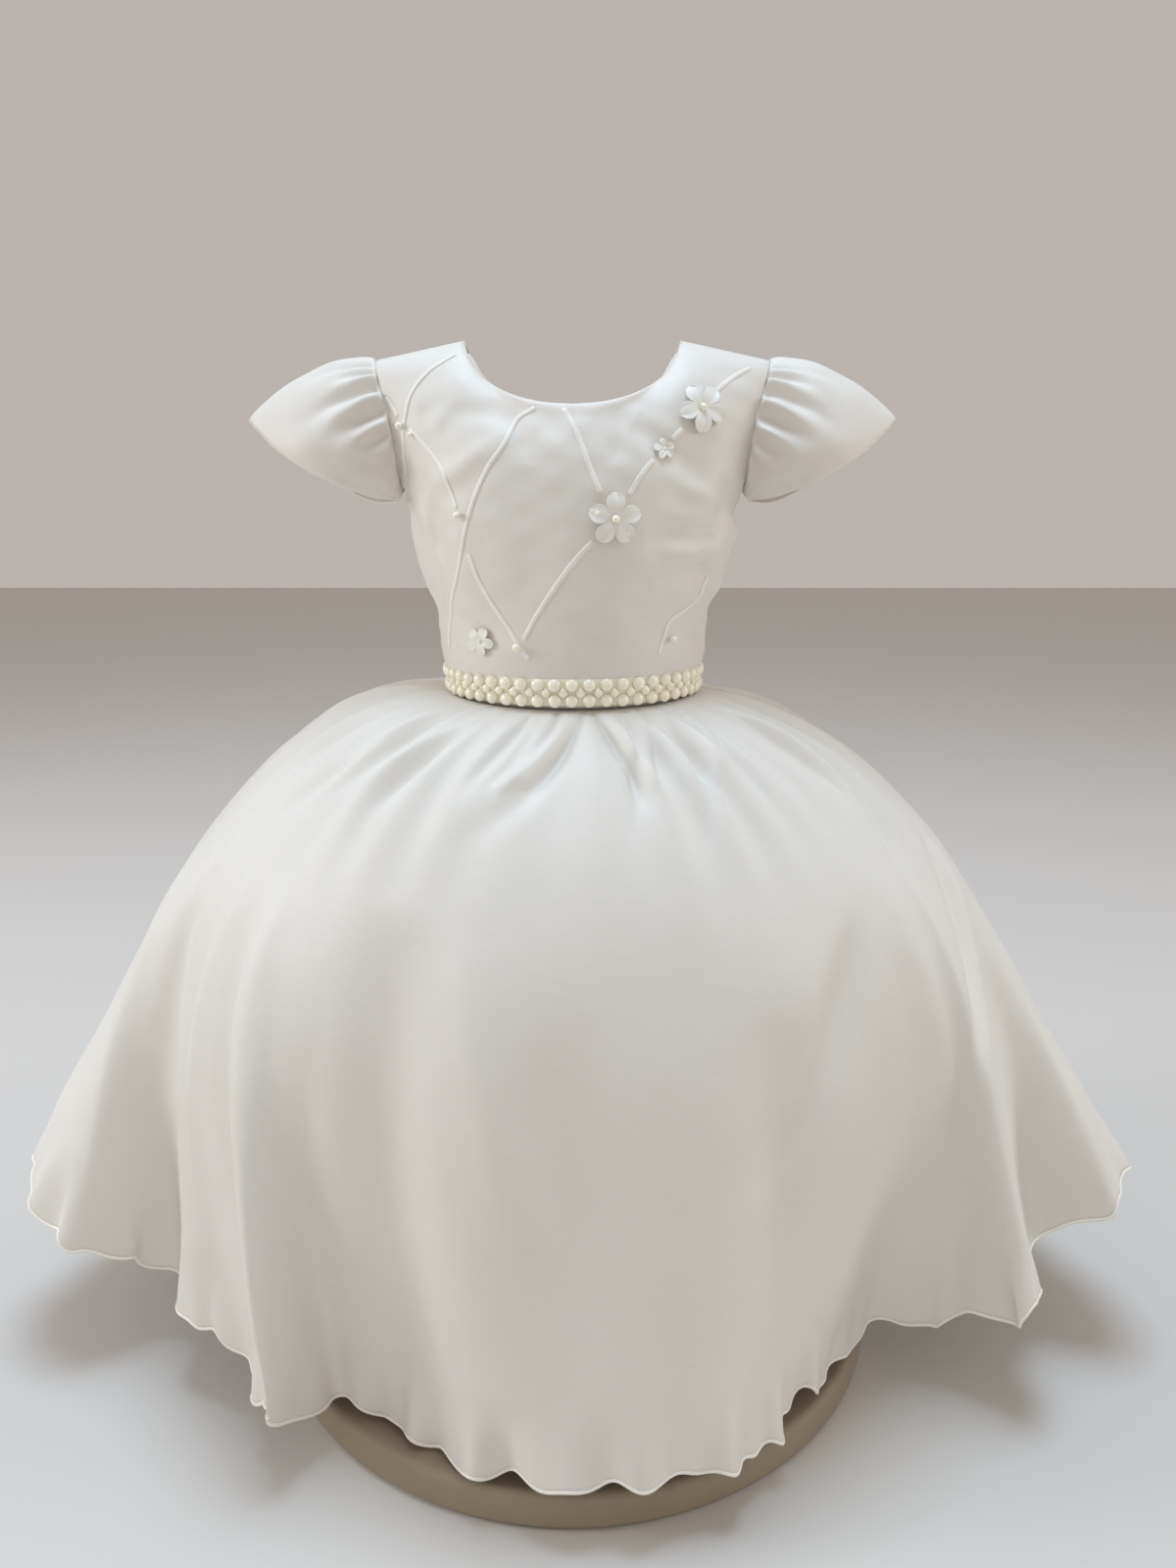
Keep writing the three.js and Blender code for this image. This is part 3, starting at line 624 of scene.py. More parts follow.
def unevenness(across: Array, up: Array, seed: int, shortest: float, longest: float) -> Array:
    """Makes a soft random relief between about -1 and 1, the same each run.

    Args:
        across: places across.
        up: places up.
        seed: the number of the draw.
        shortest: the shortest wave.
        longest: the longest wave.

    Returns:
        The relief at each place.
    """
    random = np.random.default_rng(seed)
    total = np.zeros(np.broadcast(across, up).shape)
    waves = 9
    for _ in range(waves):
        angle = random.uniform(0.0, math.pi)
        turn = 2.0 * math.pi / random.uniform(shortest, longest)
        phase = random.uniform(0.0, 2.0 * math.pi)
        total += np.sin(turn * (across * math.cos(angle) + up * math.sin(angle)) + phase)
    return total / waves ** 0.5


# Meshes

def settle(name: str, mesh: bpy.types.Mesh, finish: Finish,
           replaces: Sequence[str]) -> bpy.types.Object:
    """Puts a mesh in the scene as a piece of the object.

    Args:
        name: the piece's name.
        mesh: its mesh.
        finish: its finish.
        replaces: the solids that it stands for.

    Returns:
        The piece.
    """
    mesh.materials.clear()
    mesh.materials.append(finish.material())
    mesh.shade_smooth()
    piece = bpy.data.objects.new(name, mesh)
    bpy.context.scene.collection.objects.link(piece)
    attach(piece, "root")
    if replaces:
        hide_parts(*replaces)
    log.info("%s: %d faces", name, len(mesh.polygons))
    return piece


def mesh_of(name: str, points: Array, faces: Sequence[Sequence[int]],
            flat: Array | None = None) -> bpy.types.Mesh:
    """Makes a mesh.

    Args:
        name: the mesh's name.
        points: its points.
        faces: the corners of its faces.
        flat: for each face's corner, its place on the flat cloth.

    Returns:
        The mesh.
    """
    mesh = bpy.data.meshes.new(name)
    mesh.from_pydata(points.reshape(-1, 3).tolist(), [], faces)
    if flat is not None:
        layer = mesh.uv_layers.new(name="cloth")
        layer.data.foreach_set("uv", flat.reshape(-1).astype(np.float32))
    mesh.validate()
    mesh.update()
    return mesh


def quads(rows: int, columns: int, around: bool) -> Array:
    """Lists the corners of a grid's faces.

    Args:
        rows: the grid's rows.
        columns: its columns.
        around: whether its columns close on themselves.

    Returns:
        Four corners for each face.
    """
    row, column = np.meshgrid(np.arange(rows - 1), np.arange(columns if around else columns - 1),
                              indexing="ij")
    after = (column + 1) % columns
    corners = [row * columns + column, row * columns + after,
               (row + 1) * columns + after, (row + 1) * columns + column]
    return np.stack([corner.reshape(-1) for corner in corners], axis=1)


def flat_corners(across: Array, up: Array) -> Array:
    """Returns each face corner's place from the flat places of a grid's columns and rows."""
    flat = np.stack(np.broadcast_arrays(across[None, :], up[:, None]), axis=2)
    return np.stack([flat[:-1, :-1], flat[:-1, 1:], flat[1:, 1:], flat[1:, :-1]], axis=2)


def grid_piece(name: str, grid: Array, width: float, length: float, finish: Finish, slot: str,
               replaces: Sequence[str], around: bool = False, shell: float = SHELL) -> bpy.types.Object:
    """Makes a thin cloth shell from a grid of its outer points.

    Args:
        name: the piece's name.
        grid: rows and columns of points, its columns' way first in the outward normal.
        width: the flat width, for the weave.
        length: the flat length.
        finish: its finish.
        slot: its material slot, which is not used.
        replaces: the solids that it stands for.
        around: whether its columns close on themselves.
        shell: the cloth's thickness, or 0 for none.

    Returns:
        The piece.
    """
    rows, columns = grid.shape[:2]
    across = np.linspace(0.0, width, columns + (1 if around else 0))
    flat = flat_corners(across, np.linspace(0.0, length, rows))
    mesh = mesh_of(name, grid, quads(rows, columns, around).tolist(), flat)
    piece = settle(name, mesh, finish, replaces)
    if shell:
        wall = piece.modifiers.new("wall", "SOLIDIFY")
        wall.thickness = shell
        wall.offset = -1.0
    return piece


def tube_mesh(name: str, path: Array, up: Array, radii: tuple[float, float], sides: int,
              closed: bool) -> bpy.types.Mesh:
    """Returns a tube with an oval section along a path.

    Args:
        name: the mesh's name.
        path: the points along its middle.
        up: the way out of the cloth at each point.
        radii: its half width along the cloth and its half height.
        sides: the corners of its section.
        closed: whether it closes on itself.

    Returns:
        The mesh, with round ends if it is open.
    """
    if closed:
        way = unit(np.roll(path, -1, axis=0) - np.roll(path, 1, axis=0))
    else:
        way = unit(np.gradient(path, axis=0))
    beside = unit(np.cross(way, up))
    over = np.cross(beside, way)
    shrink = np.ones(len(path))
    if not closed:
        first = path[:1] - way[:1] * radii[1] * END_REACH
        last = path[-1:] + way[-1:] * radii[1] * END_REACH
        path = np.concatenate([first, path, last])
        beside = np.concatenate([beside[:1], beside, beside[-1:]])
        over = np.concatenate([over[:1], over, over[-1:]])
        shrink = np.concatenate([[END_WIDTH], shrink, [END_WIDTH]])
    angle = 2.0 * np.pi * np.arange(sides) / sides
    section = (beside[:, None] * (np.cos(angle) * radii[0])[None, :, None]
               + over[:, None] * (np.sin(angle) * radii[1])[None, :, None])
    rings = path[:, None] + section * shrink[:, None, None]
    steps = len(rings)
    length = np.concatenate([[0.0], np.cumsum(np.linalg.norm(np.diff(path, axis=0), axis=1))])
    if closed:
        faces = quads(steps + 1, sides, True) % (steps * sides)
        length = np.append(length, length[-1] + length[1])
        flat = flat_corners(np.linspace(0.0, 1.0, sides + 1), length).reshape(-1, 4, 2)
        return mesh_of(name, rings, faces[:, ::-1].tolist(), flat[:, ::-1])
    faces = [tuple(face[::-1]) for face in quads(steps, sides, True)]
    faces.append(tuple(range(sides)))
    faces.append(tuple(reversed(range((steps - 1) * sides, steps * sides))))
    flat = flat_corners(np.linspace(0.0, 1.0, sides + 1), length).reshape(-1, 4, 2)[:, ::-1]
    caps = np.zeros((2 * sides, 2))
    return mesh_of(name, rings, faces, np.concatenate([flat.reshape(-1, 2), caps]))


def joined(name: str, meshes: Sequence[bpy.types.Mesh]) -> bpy.types.Mesh:
    """Joins several meshes and removes them.

    Args:
        name: the whole mesh's name.
        meshes: the meshes.

    Returns:
        The whole mesh.
    """
    points, faces, flats = [], [], []
    base = 0
    for mesh in meshes:
        place = np.empty(len(mesh.vertices) * 3)
        mesh.vertices.foreach_get("co", place)
        points.append(place.reshape(-1, 3))
        faces += [[base + corner for corner in face.vertices] for face in mesh.polygons]
        flat = np.zeros(len(mesh.loops) * 2)
        if mesh.uv_layers:
            mesh.uv_layers[0].data.foreach_get("uv", flat)
        flats.append(flat)
        base += len(mesh.vertices)
        bpy.data.meshes.remove(mesh)
    return mesh_of(name, np.concatenate(points), faces, np.concatenate(flats))


def lathe_mesh(name: str, profile: Sequence[tuple[float, float]], sides: int) -> bpy.types.Mesh:
    """Makes a body turned about the upright axis.

    Args:
        name: the mesh's name.
        profile: points of radius and height, from foot to top.
        sides: the steps round it.

    Returns:
        The mesh.
    """
    outline = np.array(profile)
    angle = 2.0 * np.pi * np.arange(sides) / sides
    ring = np.stack([np.cos(angle), np.sin(angle)], axis=1)
    inner = outline[1:-1]
    points = np.concatenate([
        (inner[:, None, :1] * ring[None]), np.repeat(inner[:, None, 1:], sides, axis=1)], axis=2)
    low, high = len(inner) * sides, len(inner) * sides + 1
    points = np.concatenate([points.reshape(-1, 3), [[0, 0, outline[0][1]], [0, 0, outline[-1][1]]]])
    faces = quads(len(inner), sides, True).tolist()
    last = (len(inner) - 1) * sides
    for side in range(sides):
        after = (side + 1) % sides
        faces.append([low, after, side])
        faces.append([high, last + side, last + after])
    return mesh_of(name, points, faces)


def beads_mesh(name: str, centres: Array, outward: Array, radii: Array, flatness: float,
               segments: int = 16, rings: int = 10) -> bpy.types.Mesh:
    """Returns a mesh of many beads.

    Args:
        name: the mesh's name.
        centres: the beads' middles.
        outward: the way out of the cloth at each.
        radii: each bead's radius.
        flatness: a bead's height over its width.
        segments: steps round a bead.
        rings: steps from pole to pole.

    Returns:
        The mesh.
    """
    polar = np.pi * (np.arange(1, rings) / rings)
    angle = 2.0 * np.pi * np.arange(segments) / segments
    ball = np.stack([np.sin(polar)[:, None] * np.cos(angle), np.sin(polar)[:, None] * np.sin(angle),
                     np.repeat(np.cos(polar)[:, None], segments, axis=1)], axis=2).reshape(-1, 3)
    ball = np.concatenate([ball, [[0, 0, 1], [0, 0, -1]]])
    body = quads(rings - 1, segments, True)[:, ::-1].tolist()
    top, bottom = len(ball) - 2, len(ball) - 1
    last = (rings - 2) * segments
    for side in range(segments):
        after = (side + 1) % segments
        body.append([top, side, after])
        body.append([bottom, last + after, last + side])
    points, faces = [], []
    for number, (centre, out, radius) in enumerate(zip(centres, outward, radii)):
        side = unit(np.cross(out, (0.3, 0.1, 1.0)))
        other = np.cross(out, side)
        axes = np.stack([side * radius, other * radius, out * radius * flatness])
        points.append(ball @ axes + centre)
        faces += [[corner + number * len(ball) for corner in face] for face in body]
    return mesh_of(name, np.concatenate(points), faces)


# The dress

def seamed(panel: Array, outward: Array, roll: float, follow: float) -> Array:
    """Rolls in a panel's side edges, which stand back a little from the seams.

    Args:
        panel: the panel's points.
        outward: their normals.
        roll: how far an edge turns in.
        follow: the share of that by which the columns beside the edges follow.

    Returns:
        The panel.
    """
    for edge, neighbour in ((0, 1), (-1, -2)):
        way = unit(panel[:, neighbour] - panel[:, edge])
        panel[:, edge] += way * SEAM_GROOVE / 2
        panel[:, edge] -= outward[:, edge] * roll
        panel[:, neighbour] -= outward[:, neighbour] * roll * follow
    return panel


@dataclass
class Skirt:
    """The gathered skirt: a front and two back panels, its folds and its rolled hem."""

    # The bell: its waist, the straight way from there to the hem, and the billow between them
    waist_height: float = 434 * MM
    chord: float = 424 * MM
    side_tilt: float = 2 * MM
    billow: float = 62 * MM
    billow_power: float = 0.74
    left_billow: float = 0.08
    left_puff: float = 10 * MM
    puff_fall: float = 0.09
    reach: tuple[float, float, float] = (343 * MM, 205 * MM, 216 * MM)
    waist: tuple[float, float, float] = (71.5 * MM, 73 * MM, 61 * MM)
    # The gathers below the belt, which fade as the cloth falls
    gathers: int = 36
    gather_depth: float = 2.4 * MM
    gather_full: float = 0.05
    gather_fade: float = 0.08
    gather_fade_length: float = 0.26
    # The small ruffles near the hem
    ruffles: int = 45
    ruffle_depth: float = 3.6 * MM
    ruffle_lift: float = 2.2 * MM
    ruffle_start: float = 0.88
    # The grid, whose rows are closer near the waist and the hem
    columns: int = 900
    row_counts: tuple[int, int, int] = (20, 34, 17)
    row_breaks: tuple[float, float] = (0.12, 0.88)
    notch_start: float = 0.7
    notch_length: float = 0.3
    hem_radius: float = 1.15 * MM
    hem_sides: int = 8
    edge_roll: float = 0.3 * MM
    edge_follow: float = 0.25
    # The hem's line by across and depth in mm, and the share of the fall where its folds start
    folds: tuple[tuple[float, float, float], ...] = (
        (0, 208, 0.5), (-70, 222, 0.35), (-126, 176, 0.3), (-176, 200, 0.3), (-212, 142, 0.4),
        (-262, 140, 0.25), (-286, 76, 0.4), (-338, 38, 0.5), (-359, -38, 0.5), (-318, -84, 0.45),
        (-262, -58, 0.35), (-240, -103, 0.2), (-207, -114, 0.35), (-164, -178, 0.35),
        (-137, -140, 0.35), (-92, -176, 0.45), (-45, -196, 0.5), (10, -210, 0.55), (60, -208, 0.5),
        (114, -180, 0.45), (142, -130, 0.35), (190, -94, 0.35), (236, -104, 0.3),
        (271, -133, 0.15), (298, -62, 0.35), (341, -76, 0.45), (359, -34, 0.5), (336, 44, 0.5),
        (282, 84, 0.4), (258, 148, 0.25), (206, 150, 0.4), (172, 204, 0.3), (118, 182, 0.3),
        (62, 225, 0.35),
    )
    # Gathers by turn and fall at both ends, half width in turns, depth in mm and bow in turns
    pleats: tuple[tuple[float, ...], ...] = (
        (0.513, 0.00, 0.458, 0.19, 0.0055, -5.5, 0.001), (0.502, 0.00, 0.447, 0.17, 0.0050, 3.5, 0.001),
        (0.458, 0.01, 0.447, 0.14, 0.0050, -4.0, 0.000), (0.468, 0.01, 0.456, 0.12, 0.0050, 3.0, 0.000),
        (0.487, 0.00, 0.474, 0.10, 0.0045, -3.0, 0.000), (0.524, 0.00, 0.537, 0.15, 0.0045, -5.0, 0.002),
        (0.533, 0.00, 0.546, 0.15, 0.0045, 3.5, 0.001), (0.553, 0.01, 0.524, 0.17, 0.0040, -4.0, 0.000),
        (0.575, 0.01, 0.541, 0.14, 0.0045, -3.5, 0.000), (0.592, 0.02, 0.555, 0.21, 0.0045, -5.0, 0.002),
        (0.602, 0.02, 0.566, 0.19, 0.0045, 3.0, 0.002), (0.632, 0.02, 0.600, 0.19, 0.0045, -3.5, -0.006),
        (0.618, 0.01, 0.586, 0.14, 0.0040, 2.5, -0.004), (0.660, 0.06, 0.661, 0.24, 0.0045, -5.0, 0.002),
        (0.671, 0.06, 0.672, 0.22, 0.0050, 3.0, 0.002), (0.688, 0.18, 0.657, 0.37, 0.0055, -4.5, 0.001),
        (0.697, 0.18, 0.668, 0.35, 0.0050, 2.5, 0.001), (0.700, 0.02, 0.712, 0.24, 0.0060, -3.5, -0.003),
        (0.424, 0.01, 0.401, 0.21, 0.0055, -3.8, -0.002), (0.412, 0.01, 0.388, 0.20, 0.0050, 2.5, -0.002),
        (0.392, 0.01, 0.366, 0.24, 0.0060, -3.5, 0.000), (0.376, 0.02, 0.351, 0.20, 0.0050, 2.4, 0.001),
        (0.360, 0.03, 0.342, 0.29, 0.0060, -3.5, 0.010), (0.338, 0.02, 0.318, 0.22, 0.0060, -3.0, 0.003),
        (0.310, 0.01, 0.290, 0.26, 0.0070, -3.6, 0.004), (0.286, 0.01, 0.270, 0.20, 0.0060, 2.6, 0.002),
        (0.262, 0.01, 0.250, 0.24, 0.0065, -3.4, 0.000), (0.236, 0.01, 0.224, 0.18, 0.0055, -3.0, 0.001),
        (0.736, 0.01, 0.748, 0.22, 0.0060, -3.4, 0.000), (0.760, 0.01, 0.770, 0.18, 0.0055, 2.6, 0.000),
        (0.784, 0.01, 0.800, 0.26, 0.0065, -3.6, -0.002), (0.812, 0.01, 0.826, 0.19, 0.0055, -3.0, -0.003),
        (0.206, 0.01, 0.190, 0.24, 0.0065, -3.8, 0.003), (0.180, 0.01, 0.160, 0.18, 0.0055, -3.0, 0.003),
        (0.152, 0.01, 0.130, 0.26, 0.0060, -4.2, 0.003), (0.138, 0.01, 0.116, 0.22, 0.0050, 2.8, 0.003),
        (0.112, 0.00, 0.092, 0.18, 0.0055, -3.4, 0.002), (0.084, 0.00, 0.070, 0.22, 0.0055, -4.4, 0.002),
        (0.070, 0.00, 0.056, 0.18, 0.0045, 2.8, 0.001), (0.048, 0.00, 0.036, 0.14, 0.0045, -3.6, 0.001),
        (0.020, 0.00, 0.012, 0.19, 0.0050, -4.6, 0.000), (0.990, 0.00, 0.992, 0.15, 0.0045, -3.4, 0.000),
        (0.966, 0.00, 0.976, 0.20, 0.0050, -4.4, -0.001), (0.952, 0.00, 0.962, 0.17, 0.0045, 2.8, -0.001),
        (0.930, 0.00, 0.944, 0.16, 0.0050, -3.6, -0.002), (0.904, 0.00, 0.920, 0.22, 0.0055, -4.2, -0.002),
        (0.886, 0.01, 0.904, 0.17, 0.0050, 2.6, -0.002), (0.862, 0.01, 0.882, 0.24, 0.0060, -4.0, -0.003),
        (0.838, 0.01, 0.854, 0.17, 0.0055, -3.0, -0.003),
    )
    # Notches up into the hem by turn, half width in turns and share of the length
    scallops: tuple[tuple[float, float, float], ...] = (
        (0.362, 0.009, 0.022), (0.400, 0.013, 0.018), (0.425, 0.006, 0.016), (0.450, 0.012, 0.012),
        (0.505, 0.026, 0.018), (0.510, 0.004, 0.010), (0.528, 0.005, 0.010), (0.541, 0.006, 0.010),
        (0.579, 0.005, 0.024), (0.597, 0.006, 0.009), (0.614, 0.007, 0.020), (0.644, 0.005, 0.018),
        (0.330, 0.006, 0.008), (0.296, 0.005, 0.006), (0.690, 0.006, 0.006), (0.722, 0.005, 0.004),
        (0.236, 0.006, 0.005), (0.196, 0.007, 0.003), (0.158, 0.005, 0.006), (0.121, 0.007, 0.004),
        (0.085, 0.005, 0.005), (0.046, 0.008, 0.003), (0.012, 0.005, 0.004), (0.971, 0.007, 0.005),
        (0.934, 0.005, 0.003), (0.893, 0.008, 0.006), (0.855, 0.005, 0.004), (0.812, 0.006, 0.005),
        (0.768, 0.005, 0.004),
    )
    # Long folds by the same columns, those that run past the hem ending below it
    drapes: tuple[tuple[float, ...], ...] = (
        (0.386, 0.33, 0.399, 1.35, 0.0080, 10.0, 0.009), (0.372, 0.36, 0.383, 1.30, 0.0070, -6.0, 0.009),
        (0.357, 0.34, 0.350, 1.35, 0.0070, 4.5, 0.003), (0.445, 0.30, 0.453, 1.16, 0.0150, -19.0, 0.000),
        (0.467, 0.30, 0.492, 0.70, 0.0080, 4.0, 0.000), (0.502, 0.64, 0.501, 1.34, 0.0130, 5.5, 0.000),
        (0.501, 0.36, 0.500, 1.02, 0.0120, -7.0, 0.000), (0.522, 0.60, 0.526, 1.20, 0.0080, -2.5, 0.000),
        (0.612, 0.36, 0.556, 0.64, 0.0100, -9.0, -0.006), (0.560, 0.42, 0.562, 1.14, 0.0120, -13.0, -0.003),
        (0.584, 0.46, 0.590, 1.20, 0.0120, 5.0, 0.002), (0.634, 0.30, 0.626, 0.80, 0.0100, 3.5, 0.002),
        (0.708, 0.36, 0.653, 0.68, 0.0055, -6.0, -0.002), (0.717, 0.36, 0.663, 0.68, 0.0060, 4.0, -0.002),
        (0.318, 0.34, 0.330, 0.90, 0.0080, -5.0, 0.002), (0.286, 0.36, 0.292, 0.86, 0.0100, 4.0, 0.002),
        (0.236, 0.34, 0.232, 1.10, 0.0110, -7.0, 0.003), (0.206, 0.36, 0.202, 1.20, 0.0100, 5.0, 0.002),
        (0.762, 0.34, 0.768, 1.10, 0.0110, -7.0, -0.003), (0.794, 0.38, 0.800, 1.20, 0.0100, 5.0, 0.002),
        (0.172, 0.32, 0.168, 0.96, 0.0120, -9.0, 0.004), (0.140, 0.36, 0.146, 1.25, 0.0090, 6.0, 0.003),
        (0.108, 0.30, 0.100, 1.12, 0.0140, -11.0, 0.002), (0.076, 0.40, 0.070, 1.30, 0.0090, 6.0, 0.003),
        (0.040, 0.34, 0.046, 1.10, 0.0120, -8.0, -0.003), (0.006, 0.44, 0.002, 1.35, 0.0100, 6.0, 0.000),
        (0.966, 0.32, 0.958, 1.10, 0.0130, -9.0, 0.003), (0.928, 0.38, 0.934, 1.25, 0.0090, 6.0, -0.002),
        (0.896, 0.30, 0.900, 1.12, 0.0140, -11.0, -0.003), (0.862, 0.40, 0.858, 1.30, 0.0090, 6.0, 0.002),
        (0.830, 0.32, 0.834, 0.96, 0.0120, -8.0, -0.003),
    )

    def falls(self) -> Array:
        """Places the rows closer at both ends.

        Returns:
            Their places, 0 at the waist and 1 at the hem.
        """
        upper, lower = self.row_breaks
        return np.concatenate([np.linspace(0.0, upper, self.row_counts[0], endpoint=False),
                               np.linspace(upper, lower, self.row_counts[1], endpoint=False),
                               np.linspace(lower, 1.0, self.row_counts[2])])

    def _oval(self, turn: Array, reach: tuple[float, float, float]) -> Array:
        """Finds points of a level oval.

        Args:
            turn: their turns.
            reach: the oval's half width, front and back.

        Returns:
            The points, across and deep.
        """
        angle = 2.0 * np.pi * turn
        depth = np.where(np.cos(angle) > 0.0, reach[2], reach[1])
        return np.stack([-np.sin(angle) * reach[0], np.cos(angle) * depth], axis=-1)

    def _gather_wave(self, turn: Array, fall: Array) -> Array:
        """Makes the waist gathers, pinched near the belt and softer below it.

        Args:
            turn: the columns' turns.
            fall: the rows' places from waist to hem.

        Returns:
            Their relief, between about -1 and 1.
        """
        angle = 2.0 * np.pi * turn
        sway = 0.9 * np.sin(5 * angle) + 0.6 * np.sin(3 * angle + 1)
        uneven = 0.75 + 0.25 * np.sin(7 * angle + 2)
        main = np.sin(self.gathers * angle + sway)
        pinch = np.exp(-fall / 0.035)
        pinched = 1.0 - 2.0 * np.abs(np.sin((self.gathers * angle + sway) / 2 + 0.7)) ** 0.8
        fine = np.sin(2 * self.gathers * angle + 2.3 * np.sin(4 * angle)) * np.exp(-fall / 0.03)
        return (blend(main, pinched, 0.55 * pinch) + 0.35 * fine) * uneven

    def surface(self, turn: Array, fall: Array) -> Array:
        """Returns the skirt's outer points.

        Args:
            turn: the columns' turns.
            fall: the rows' places from waist to hem.

        Returns:
            Points, by row and column.
        """
        hem = Spline([(x * MM, y * MM, start * MM) for x, y, start in self.folds], closed=True)
        folds = hem.even(turn)
        start = folds[None, :, 2:] / MM
        fall, column = fall[:, None, None], turn[None, :, None]
        ruffled = smooth((fall - self.ruffle_start) / (1.0 - self.ruffle_start))
        short = smooth((fall - self.notch_start) / self.notch_length)
        fall = fall - self._notch(column) * short
        waist = self._oval(turn, self.waist)[None]
        bell = self._oval(turn, self.reach)[None]
        reach = blend(bell, folds[None, :, :2], smooth((fall - start) / (1.0 - start)))
        spread = reach - waist
        width = np.linalg.norm(spread, axis=-1, keepdims=True)
        left = np.sin(2.0 * np.pi * column)
        chord = self.chord + self.side_tilt * left
        drop = np.sqrt(chord ** 2 - width ** 2)
        level = spread / width
        outward = np.concatenate([level * drop / chord, width / chord * np.ones_like(fall)], axis=-1)
        point = np.concatenate([waist + spread * fall, self.waist_height - drop * fall], axis=-1)
        billow = self.billow * (1.0 + self.left_billow * np.maximum(0.0, left))
        rise = billow * np.sin(np.pi * fall ** self.billow_power)
        rise = rise + self.left_puff * np.maximum(0.0, left) ** 2 * (fall / self.puff_fall) * np.exp(
            1.0 - fall / self.puff_fall)
        gathered = np.minimum(1.0, 0.2 + fall / self.gather_full) * (
            1.0 - smooth((fall - self.gather_fade) / self.gather_fade_length))
        rise = rise + self.gather_depth * gathered * self._gather_wave(column, fall)
        rise = rise + self._soft(column, fall)
        point = point + outward * rise
        wave = 2.0 * np.pi * (self.ruffles * column + 0.08 * np.sin(14.0 * np.pi * column))
        sway = 3.0 * np.sin(10.0 * np.pi * column)
        curl = np.sin(wave) + 0.4 * np.sin(2.0 * wave + 1.0 + sway)
        ruffled = ruffled * (0.9 + 0.3 * np.sin(22.0 * np.pi * column + 0.4))
        point[..., :2] += level * self.ruffle_depth * ruffled * curl
        point[..., 2:] += self.ruffle_lift * ruffled * np.cos(wave * 0.5 + 1.0)
        point[..., 2:] += 0.8 * MM * ruffled ** 3 * np.cos(wave + 0.6)
        point[..., 2:] += 1.5 * MM * ruffled ** 2 * np.sin(2.0 * wave + 2.4 + 0.7 * sway)
        return point

    def _notch(self, turn: Array) -> Array:
        """Finds how much shorter the cloth is at the hem's notches.

        Args:
            turn: the columns' turns.

        Returns:
            The share of the length that is missing.
        """
        total = np.zeros_like(turn)
        for middle, half, share in self.scallops:
            total = total + share * bump_at(turn, middle, half)
        return total

    def _soft(self, turn: Array, fall: Array) -> Array:
        """Adds up the listed folds and the cloth's slight unevenness.

        Args:
            turn: the columns' turns.
            fall: the rows' places from waist to hem.

        Returns:
            Their rise, in metres.
        """
        total = 0.5 * MM * unevenness(turn * 2.0, fall * 0.45, 11, 0.05, 0.16) * smooth(fall / 0.1)
        for first, high, last, low, half, depth, bow in self.pleats + self.drapes:
            along = (fall - high) / (low - high)
            window = np.sin(np.pi * np.clip(along, 0.0, 1.0))
            middle = blend(first, last, along) + bow * window
            total = total + depth * MM * window ** 0.8 * bump_at(turn, middle, half)
        return total

    def build(self) -> None:
        """Makes the three panels and the rolled hem."""
        turn = np.arange(self.columns) / self.columns
        falls = self.falls()
        grid = self.surface(turn, falls)
        outward = -grid_normals(grid, True)
        quarter = self.columns // 4
        panels = (("skirt_front", quarter, 3 * quarter, (1.20, 0.458), 0.42),
                  ("skirt_back_left", 0, quarter, (0.59, 0.455), 0.205),
                  ("skirt_back_right", 3 * quarter, 4 * quarter, (0.59, 0.455), 0.205))
        for name, first, last, flat, area in panels:
            run = [column % self.columns for column in range(first, last + 1)]
            panel = seamed(grid[:, run].copy(), outward[:, run], self.edge_roll, self.edge_follow)
            piece = grid_piece(f"{name}_cloth", panel[:, ::-1], flat[0], flat[1], Finish.SATIN,
                               "satin", [name])
        self._hem(grid[-1], outward[-1])

    def _hem(self, edge: Array, outward: Array) -> None:
        """Makes the overlocked roll along the hem.

        Args:
            edge: the hem's points.
            outward: their normals.
        """
        path = edge - outward * SHELL / 2
        radii = (self.hem_radius, self.hem_radius)
        mesh = tube_mesh("hem_roll", path, outward, radii, self.hem_sides, True)
        settle("hem_roll", mesh, Finish.HEM, [])


